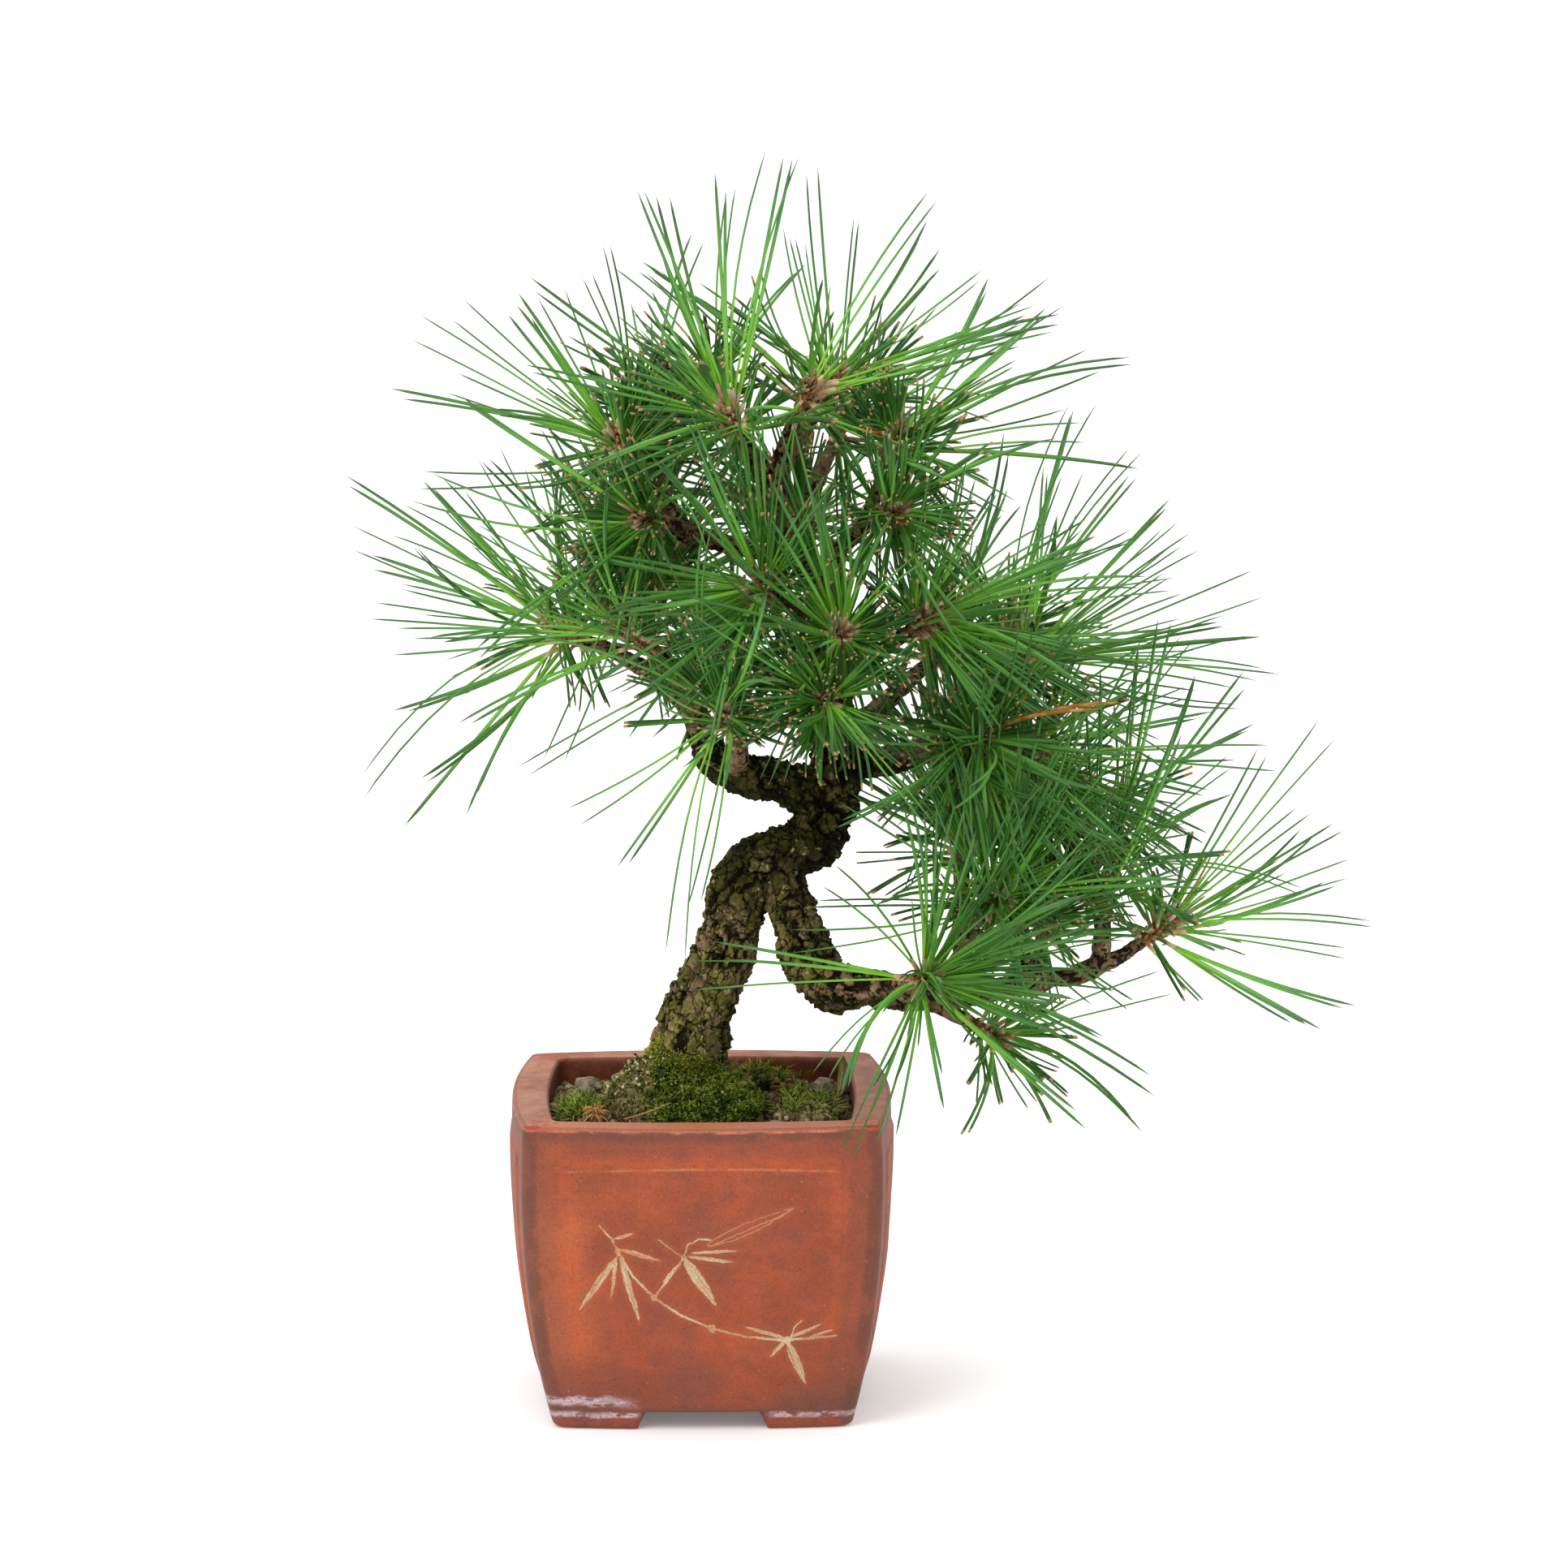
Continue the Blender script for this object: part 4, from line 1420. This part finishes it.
def short_moss(spots, ways, rng, length, tone):
    """One leaflet at each spot, along the skin's normal, turned a little up and a little at random."""
    way = unit(ways + [0, 0, 0.5] + rng.normal(0, 0.5, ways.shape))
    side = at_right_angles(way, rng.normal(size=way.shape))
    size = rng.uniform(*length, len(spots))
    bend = rng.normal(0, 0.25, way.shape) + [0, 0, -0.1]
    shade = np.clip(tone + rng.normal(0, 0.2, len(spots)), 0, 1)
    half_width = size * rng.uniform(0.09, 0.15, len(spots))
    return leaflets(spots - ways * 0.0003, way, side, size, half_width, bend, 0.3, shade)


def moss_sprigs(spots, ways, rng, length):
    """Upright stars of moss: a few thin blades from each spot, leaning out all round and curving down."""
    roots = np.repeat(spots, STAR_BLADES, axis=0)
    stem = np.repeat(unit(ways * 0.4 + [0, 0, 1.0] + rng.normal(0, 0.25, ways.shape)), STAR_BLADES, axis=0)
    reach = np.repeat(rng.uniform(*length, len(spots)), STAR_BLADES)
    climb = np.tile(np.linspace(0.0, 0.55, STAR_BLADES), len(spots))
    out = unit(rng.normal(size=stem.shape) * [1, 1, 0.3])
    way = unit(stem + out * rng.uniform(0.3, 1.1, (len(roots), 1)))
    side = at_right_angles(way, rng.normal(size=way.shape))
    size = reach * rng.uniform(0.45, 0.85, len(roots))
    shade = np.repeat(rng.normal(0.6, 0.15, len(spots)), STAR_BLADES) + rng.normal(0, 0.08, len(roots))
    foot = roots + stem * (reach * climb)[:, None]
    half_width = 0.00017 * rng.uniform(0.8, 1.3, len(roots))
    return leaflets(foot, way, side, size, half_width, out * 0.25 + [0, 0, -0.22], 0.3, np.clip(shade, 0, 1))


def moss_finish(name, dark, middle, bright):
    """Moss: dark at the foot, bright at the tips, from deep to yellow green by tone, brown here and there."""
    moss = Finish(name, 0.12)
    along, tone = moss.values("along tone")
    patch, fine = moss.noise(5, 3, shift=3), moss.noise(0.8, 3, shift=5)
    body = moss.ramp(tone + (patch - 0.5) * 0.9, (0.1, dark), (0.5, middle), (0.95, bright))
    z = moss.axis(2) - SOIL_LEVEL / MM
    body = moss.coats(
        body,
        ((z + patch * 8).rise(9.5, 4) * 0.55, moss.mix(tone, "243F0C", "5C9428")),
        (along.rise(0.72, 0.1) * 0.88, "151A05"),
        (fine.rise(0.62, 0.74) * 0.5, "6B5A27"),
    )
    return moss.wears(Base_Color=body, Roughness=0.72 + tone * 0.1)


def felt_finish():
    """The brown green felt that the moss grows out of, and bark where its tone says that a root shows."""
    felt = Finish("moss_felt")
    mottle, fine = felt.noise(2.5, 4, shift=3), felt.noise(0.5, 4, shift=5)
    body = felt.ramp(mottle, (0.3, "14180A"), (0.5, "252B0D"), (0.75, "424816"))
    root = felt.ramp(mottle, (0.3, "3A2E18"), (0.5, "7A6A3C"), (0.7, "A8966A"))
    rooty = (felt.value("tone") + (mottle - 0.5) * 0.6).rise(0.6, 1.0)
    body = felt.coats(body, (fine.rise(0.5, 0.7) * 0.6, "57601F"), (rooty * 0.85, root))
    return felt.wears(Base_Color=body, Roughness=0.9 - fine * 0.1, Normal=felt.bump(fine, 0.5))


# Moss cushions: leaflets, sprigs, grains of soil on top, height of lumps, rise at the trunk and tone.
CUSHIONS = {
    "moss_mound": (11000, 260, 0, 0.0014, 0.0105, 0.42),
    "moss_right": (200, 85, 470, 0.0018, 0.0, 0.5),
    "moss_left": (160, 130, 210, 0.0015, 0.0, 0.55),
    "moss_back": (400, 100, 210, 0.0012, 0.0, 0.45),
}


def make_moss(wood, ground):
    """Four cushions, each a lumpy felt under leaflets, and the moss and lichen that climb the trunk's foot.

    The mound's left part is a flare of the trunk's foot, with lichen, and the right cushion lies bare as soil.
    """
    rng = np.random.default_rng(SEED + 202)
    finishes = [
        felt_finish(),
        moss_finish("cushion_moss", "141C06", "455A16", "BEC04A"),
        moss_finish("grassy_moss", "334714", "6C8A26", "CCD45C"),
        lichen_finish(),
        ground,
    ]
    for node, (short, sprigs, grains, lump, crown, tone) in CUSHIONS.items():
        mound = node == "moss_mound"
        points, faces = cushion(node, lump, crown)
        ways = normals_of(points, faces)
        left, front = FOOT[0] - points[:, 0], points[:, 1] - FOOT[1]
        rooty = mound * smooth(left, 0.005, 0.013)
        chance = smooth(ways[:, 2], -0.1, 0.35) * (1 - 0.85 * rooty) + 1e-6
        body = 4 if node == "moss_right" else 0
        parts = [{"points": points, "faces": faces, "tone": 0.3 + rooty, "material": body}]
        spots, out = spots_on(points, faces, short, rng, chance)
        shade = tone + 0.35 * rough(spots / 0.004, 2, 67)
        parts.append({**short_moss(spots, out, rng, (0.0009, 0.0021), shade), "material": 1})
        spots, out = spots_on(points, faces, sprigs, rng, chance)
        long = (0.0022, 0.0042) if mound else (0.0034, 0.0085)
        parts.append({**moss_sprigs(spots, out, rng, long), "material": 2})
        if mound:
            chance = smooth(left, -0.004, 0.010) * smooth(front, -0.030, -0.012) + 0.06
            chance = chance * (0.3 + rooty) + 1e-9
            parts.append({**lichen_crumbs(*spots_on(points, faces, MOUND_LICHENS, rng, chance), rng), "material": 3})
        else:
            parts.append({**soil_grains(*spots_on(points, faces, grains, rng, chance), rng), "material": 4})
        new_piece(node.replace("moss", "moss_cushion"), parts, finishes, [node])
    make_trunk_moss(wood, rng, finishes[1], finishes[3])


def crumbs_on(spots, ways, rng, sizes, sink, tones):
    """Small dented crumbs of these radii and tones, whose middles stand off their spots by sink."""
    size = rng.uniform(*sizes, len(spots))
    part = pebbles(spots + ways * sink, size, 2, (0.55, 1.15), (0.35, 2, 94), rng)
    return {**part, "tone": rng.uniform(*tones, (len(spots), 1))}


def lichen_crumbs(spots, ways, rng):
    """Pale crumbs of lichen that stand up out of the moss."""
    return crumbs_on(spots, ways, rng, (0.00025, 0.0007), 0.0012, (0.0, 1.0))


def soil_grains(spots, ways, rng):
    """Grains of soil that lie on top of a thin cushion."""
    return {**crumbs_on(spots, ways, rng, (0.0006, 0.0019), 0.0016, (0.1, 0.9)), "grain": 1.0}


def lichen_finish():
    """Crumbs of grey white lichen."""
    pale = Finish("lichen_crumbs")
    tone = pale.value("tone")
    body = pale.ramp(tone, (0.0, "8E8450"), (0.5, "C4B880"), (1.0, "F0E6BE"))
    body = pale.mix(pale.noise(0.5, 3).rise(0.45, 0.7) * 0.4, body, "6F7048")
    return pale.wears(Base_Color=body, Roughness=0.9 - tone * 0.05)


def make_trunk_moss(wood, rng, finish, lichen):
    """Leaflets wherever the wood is mossy, and grey white lichen crumbs on the left of the trunk's foot."""
    points, faces = wood["points"], wood["faces"]
    low = (points[:, 2] < SOIL_LEVEL + LEAFLETS_TOP) & (points[:, 2] > SOIL_LEVEL - 0.001)
    chance = low * wood["moss"] + 1e-9
    spots, ways = spots_on(points, faces, TRUNK_LEAFLETS, rng, chance)
    height = (spots[:, 2] - SOIL_LEVEL) / 0.018
    shade = 0.45 + 0.35 * height + 0.35 * rough(spots / 0.004, 2, 68) - ways[:, 0] * 0.15
    parts = [short_moss(spots, ways, rng, (0.0009, 0.0022), shade)]
    left = smooth(FOOT[0] - points[:, 0], -0.002, 0.006) * smooth(-normals_of(points, faces)[:, 1], -0.3, 0.4)
    patchy = smooth(rough(points / 0.005, 3, 93), -0.1, 0.35)
    near_soil = smooth(SOIL_LEVEL + LICHENS_TOP - points[:, 2], 0, 0.006) * (points[:, 2] > SOIL_LEVEL + 0.004)
    spots, ways = spots_on(points, faces, TRUNK_LICHENS, rng, left * patchy * near_soil + 1e-9)
    parts.append({**lichen_crumbs(spots, ways, rng), "material": 1})
    new_piece("trunk_moss", parts, [finish, lichen])


# ---------------------------------------------------------------- litter, leaf, seedling, mesh and staple


def twig(points, radii, **values):
    """One thin round stick along a smooth line through the points, tapering as the radii say."""
    line = smooth_line(np.column_stack([np.array(points, float), radii]), 4)
    centres, radius = line[:, :3], line[:, 3]
    ahead = unit(np.gradient(centres, axis=0))
    across = unit(np.cross(ahead, [0.13, 0.22, 0.97]))
    frames = (centres[None], across[None], np.cross(ahead, across)[None])
    shape = tubes(*frames, radius[None], radius[None], sides=TWIG_SIDES)
    along = np.linspace(0, 1, len(centres))[:, None]
    return {"points": shape, "faces": tube_quads(len(centres), TWIG_SIDES), "along": along, **values}


def on_soil(x, y, lift=0.0006):
    """A point of the world just above the soil, from shares of the way to the pot's inner wall."""
    x, y = x * INNER_HALF, y * INNER_HALF
    return MIDDLE + [x, y, soil_height(x, y) + lift]


TWIG_SIDES = 6
# A rootlet, as places for on_soil(), and two forks as steps from the points that they leave it at.
ROOTLET = [(0.20, 0.10), (0.22, 0.08, 0.004), (0.19, 0.06, 0.008), (0.24, 0.04, 0.012)]
FORK_RADII = [0.0004, 0.0003, 0.0002]
ROOTLET_FORKS = np.array([[(0, 0, 0), (3, 0, 2), (5, 0, 6)], [(0, 0, 0), (-2.5, 0, 2), (-3, 0, 5)]]) * MM
# Twiglets and straws: places as for on_soil(), radii and tone.
TWIGS = [
    ([(0.46, 0.30, 0.004), (0.62, 0.22, 0.006), (0.76, 0.10, 0.003)], [0.0007, 0.0007, 0.0004], 0.9),
    ([(0.50, 0.02, 0.002), (0.58, 0.10, 0.003), (0.70, 0.12, 0.002)], [0.0005, 0.0005, 0.0003], 0.85),
    ([(-0.50, -0.86, 0.006), (-0.36, -0.80, 0.007), (-0.20, -0.76, 0.0095)], [0.0002, 0.00025, 0.00015], 0.25),
    ([(-0.80, -0.30, 0.003), (-0.70, -0.26, 0.0045), (-0.60, -0.24, 0.003)], [0.0004, 0.0004, 0.0002], 0.15),
]


def litter_finish():
    """Dry straw, rootlets and dropped needles: from pale straw to rust brown by tone."""
    dry = Finish("dry_litter", 0.3)
    tone = dry.value("tone")
    streak = dry.noise(0.9, 4, (1, 1, 0.4), 3)
    body = dry.ramp(tone, (0.0, "D9C08A"), (0.35, "B98A4E"), (0.7, "8A4E28"), (1.0, "4A3220"))
    body = dry.mix(streak.rise(0.45, 0.7) * 0.45, body, "6E4B2C")
    return dry.wears(Base_Color=body, Roughness=0.7 + tone * 0.15, Normal=dry.bump(streak, 0.1))


# Needles and straws dropped on the soil, how far out they may reach, and seed grains on the mound.
DROPPED, DROPPED_REACH, SEEDS = 46, 0.93, 150


def make_litter():
    """A forked rootlet, straws, twiglets and dropped needles that lie on the soil and moss."""
    rng = np.random.default_rng(SEED + 303)
    rootlet = [on_soil(*place) for place in ROOTLET]
    parts = [
        twig(rootlet, [0.0006, 0.00055, 0.00045, 0.0002], tone=0.55),
        twig(rootlet[1] + ROOTLET_FORKS[0], FORK_RADII, tone=0.5),
        twig(rootlet[2] + ROOTLET_FORKS[1], FORK_RADII, tone=0.6),
    ]
    parts += [twig([on_soil(*place) for place in places], radii, tone=tone) for places, radii, tone in TWIGS]
    for _ in range(DROPPED):
        start = rng.uniform(-0.9, 0.9, 2)
        turn, length = rng.uniform(0, math.tau), rng.uniform(0.05, 0.20)
        end = start + np.array([math.cos(turn), math.sin(turn)]) * length
        ends = np.clip([start, end], -DROPPED_REACH, DROPPED_REACH)
        lifts = rng.uniform(0.0006, 0.0028, 3) + [0, 0.0006, 0]
        line = [on_soil(*place, lift) for place, lift in zip((ends[0], ends.mean(axis=0), ends[1]), lifts)]
        parts.append(twig(line, rng.uniform(0.00018, 0.0004) * np.array([1, 1, 0.6]), tone=rng.uniform(0, 1)))
    form, faces = ball(1)
    turn, out = rng.uniform(0, math.tau, SEEDS), np.sqrt(rng.uniform(0.25, 1, SEEDS)) * MOUND_HALF * 0.95
    x, y = MOUND_X + out * np.cos(turn), MOUND_Y + out * np.sin(turn)
    keep = (np.abs(x) < INNER_HALF * 0.95) & (np.abs(y) < INNER_HALF * 0.95)
    x, y, out = x[keep], y[keep], out[keep]
    dome = 0.0075 * (1 - (out / MOUND_HALF) ** 2) ** 0.5
    centre = np.column_stack([x, y, soil_height(x, y) + dome + 0.0004]) + MIDDLE
    seeds = form[None] * (rng.uniform(0.00016, 0.00034, (len(x), 1, 1)) * [1, 1, 1.5]) + centre[:, None]
    parts.append({"points": seeds, "faces": repeated(faces, len(form), len(x)), "tone": 0.02})
    new_piece("dry_litter", parts, [litter_finish()])


def leaf_part():
    """A dry lance leaf: half width a sine of the place along it, a keel at its midrib, curled a little backwards."""
    low, high = box_of("fallen_leaf")
    foot = np.array([(low[0] + high[0]) / 2 - 0.0008, (low[1] + high[1]) / 2 - 0.0006, low[2]])
    up = unit(np.array([0.12, 0.10, 1.0]))
    across = np.array([0.80, -0.60, 0.0])
    across = unit(across - across @ up * up)
    out = np.cross(across, up)
    v, u = np.linspace(0, 1, 30)[:, None], np.linspace(-1, 1, 14)[None]
    wide = 0.00245 * np.sin(math.pi * (0.04 + 0.93 * v)) ** 0.8
    veins = 0.00006 * np.sin(34 * v - 9 * np.abs(u))
    lean = (0.0013 + 0.0007 * np.abs(u)) * np.sin(math.pi * v) - 0.00025 * (1 - np.abs(u)) ** 3
    face = foot + (high[2] - low[2]) * v[..., None] * up + (u * wide)[..., None] * across
    front = face - (lean + veins + 0.00012 * (1 - np.abs(u)))[..., None] * out
    back = face - (lean + veins - 0.00022 * (1.2 - np.abs(u)))[..., None] * out
    ring = np.concatenate([front, back[:, ::-1]], axis=1)
    side = np.concatenate([u, u[:, ::-1]], axis=1)
    return {"points": ring, "faces": tube_quads(*ring.shape[:2]), "side": side, "run": v}


def leaf_finish():
    """A dry leaf: olive and mottled, with a pale midrib and side veins, and brown along its edges and at its tip."""
    dry = Finish("dry_leaf", 0.35)
    side, run = dry.values("side run")
    mottle = dry.noise(3, 4, shift=2)
    veins = (run * 60 - abs(side) * 9).math("SINE").rise(0.5, 1.0)
    body = dry.coats(
        dry.ramp(mottle, (0.3, "5C6428"), (0.5, "7A7C3A"), (0.7, "97904E")),
        (abs(side).rise(0.14, 0.04) * 0.8, "B8AE78"),
        (veins * 0.35, "A29C60"),
        ((abs(side) + mottle * 0.6).rise(1.05, 1.3) * 0.8, "6B4423"),
        ((run + mottle * 0.3).rise(1.0, 1.15) * 0.8, "5A3A20"),
    )
    return dry.wears(Base_Color=body, Roughness=0.55 + mottle * 0.2, Normal=dry.bump(veins + mottle, 0.08))


def make_leaf():
    new_piece("fallen_leaf_blade", [leaf_part()], [leaf_finish()], ["fallen_leaf"])


SEEDLING_LEAVES = 44


def seedling_finish():
    """Dry stalk and leaves, orange tan to brown by tone."""
    dry = Finish("dry_seedling", 0.3)
    tone, along = dry.values("tone along")
    body = dry.ramp(tone, (0.0, "D8B27C"), (0.5, "C08548"), (1.0, "8A5228"))
    body = dry.mix(dry.noise(0.7, 3).rise(0.45, 0.7) * 0.4, body, "8E6236")
    return dry.wears(Base_Color=body, Roughness=0.75 - along * 0.1)


def make_seedling():
    """A dried seedling: a short wrinkled stalk under a mop of thin orange tan leaves that curl over."""
    rng = np.random.default_rng(SEED + 404)
    low, high = box_of("dry_sprout")
    foot = np.array([(low[0] + high[0]) / 2 - 0.0025, (low[1] + high[1]) / 2, low[2] - 0.001])
    head = foot + [0.0006, 0.0, 0.0086]
    parts = [twig([foot, (foot + head) / 2 + [0.0004, 0, 0], head], [0.0005, 0.00042, 0.0006], tone=0.55)]
    for _ in range(SEEDLING_LEAVES):
        way = unit(rng.normal(size=3) * [1, 1, 0.5] + [0, 0, 0.55])
        root = head - [0, 0, rng.uniform(0, 0.0032)]
        length = rng.uniform(0.0026, 0.0058)
        tip = root + way * length + [0, 0, -0.0011]
        bend = root + way * length * 0.55 + [0, 0, 0.0005]
        parts.append(twig([root, bend, tip], [0.00026, 0.0003, 0.0001], tone=rng.uniform(0.1, 0.6)))
    new_piece("dry_seedling", parts, [seedling_finish()], ["dry_sprout"])


def finish_hidden_parts():
    """Better finishes for the drainage mesh and its staple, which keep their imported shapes."""
    net = Finish("black_plastic_mesh", 0.45)
    scuffed = net.noise(2.5, 4, shift=2)
    dust = net.noise(0.7, 4, shift=4)
    body = net.mix(scuffed.rise(0.45, 0.7) * 0.7, net.ramp(dust, (0.4, "17181A"), (0.7, "2A2A29")), "4A4034")
    plastic = net.wears(Base_Color=body, Roughness=0.45 + scuffed * 0.3, Normal=net.bump(dust, 0.05))
    wire = Finish("dull_aluminium", 0.5, Metallic=1.0)
    drawn = wire.noise(0.5, 4, (0.2, 0.2, 1), 3)
    body = wire.ramp(drawn, (0.3, "8D8E90"), (0.7, "B9BABC"))
    metal = wire.wears(Base_Color=body, Roughness=0.35 + drawn * 0.25)
    for node, material in (("drainage_mesh", plastic), ("mesh_staple", metal)):
        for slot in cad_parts[node].material_slots:
            slot.material = material


# ---------------------------------------------------------------- camera, floor and light


FLOOR_REACH = 60.0
FLOOR_GLOW, SKY_STRENGTH = 0.13, 1.1
LAMPS_AIM = Vector((0, 0, 0.2))


def make_stage():
    """A wide pale floor, a softbox in front on the left, a weaker one on the right, and an even white sky."""
    mesh = bpy.data.meshes.new("floor")
    corners = [(-1, -1), (1, -1), (1, 1), (-1, 1)]
    mesh.from_pydata([(x * FLOOR_REACH, y * FLOOR_REACH, 0) for x, y in corners], [], [(0, 1, 2, 3)])
    floor = placed("floor", mesh)
    paint = Finish("pale_floor", 0.1, Base_Color=(0.96, 0.96, 0.96, 1.0), Roughness=0.9)
    paint.shader.inputs["Emission Color"].default_value = (1.0, 1.0, 1.0, 1.0)
    paint.shader.inputs["Emission Strength"].default_value = FLOOR_GLOW
    mesh.materials.append(paint.material)
    for name, place, size, power in (
        ("key_softbox", (-0.9, -1.3, 1.5), 1.0, 15.0),
        ("fill_softbox", (1.4, -0.8, 0.9), 1.2, 3.0),
        ("top_softbox", (0.1, 0.3, 1.7), 1.4, 6.0),
    ):
        light = bpy.data.lights.new(name, "AREA")
        light.shape, light.size, light.energy = "DISK", size, power
        lamp = placed(name, light)
        lamp.location = place
        lamp.rotation_mode = "QUATERNION"
        lamp.rotation_quaternion = (LAMPS_AIM - Vector(place)).to_track_quat("-Z", "Y")
    world = bpy.data.worlds.new("white_room")
    world.use_nodes = True
    sky = world.node_tree.nodes["Background"].inputs
    sky["Color"].default_value, sky["Strength"].default_value = (1, 1, 1, 1), SKY_STRENGTH
    bpy.context.scene.world = world
    bpy.context.scene.view_settings.view_transform = "Standard"


# The camera's place from the pot's middle, its tilt down and turn to the left in degrees, and its lens.
CAMERA_PLACE = np.array([-0.0064, -2.0, 0.5401])
CAMERA_TILT, CAMERA_TURN = 9.555, -0.960
SENSOR_WIDTH, LENS = 36.0, 142.8


def make_camera():
    """Two metres in front, a little above the tree's top, and tilted down at it."""
    camera = placed("camera", bpy.data.cameras.new("camera"))
    camera.data.sensor_width, camera.data.lens = SENSOR_WIDTH, LENS
    camera.location = MIDDLE + CAMERA_PLACE
    camera.rotation_euler = Euler((math.radians(90 - CAMERA_TILT), 0, math.radians(CAMERA_TURN)))
    bpy.context.scene.camera = camera


make_camera()
make_stage()
make_pot()
ground_finish = make_soil()
make_stones()
make_moss(make_wood(), ground_finish)
make_litter()
make_leaf()
make_seedling()
finish_hidden_parts()
make_needles()
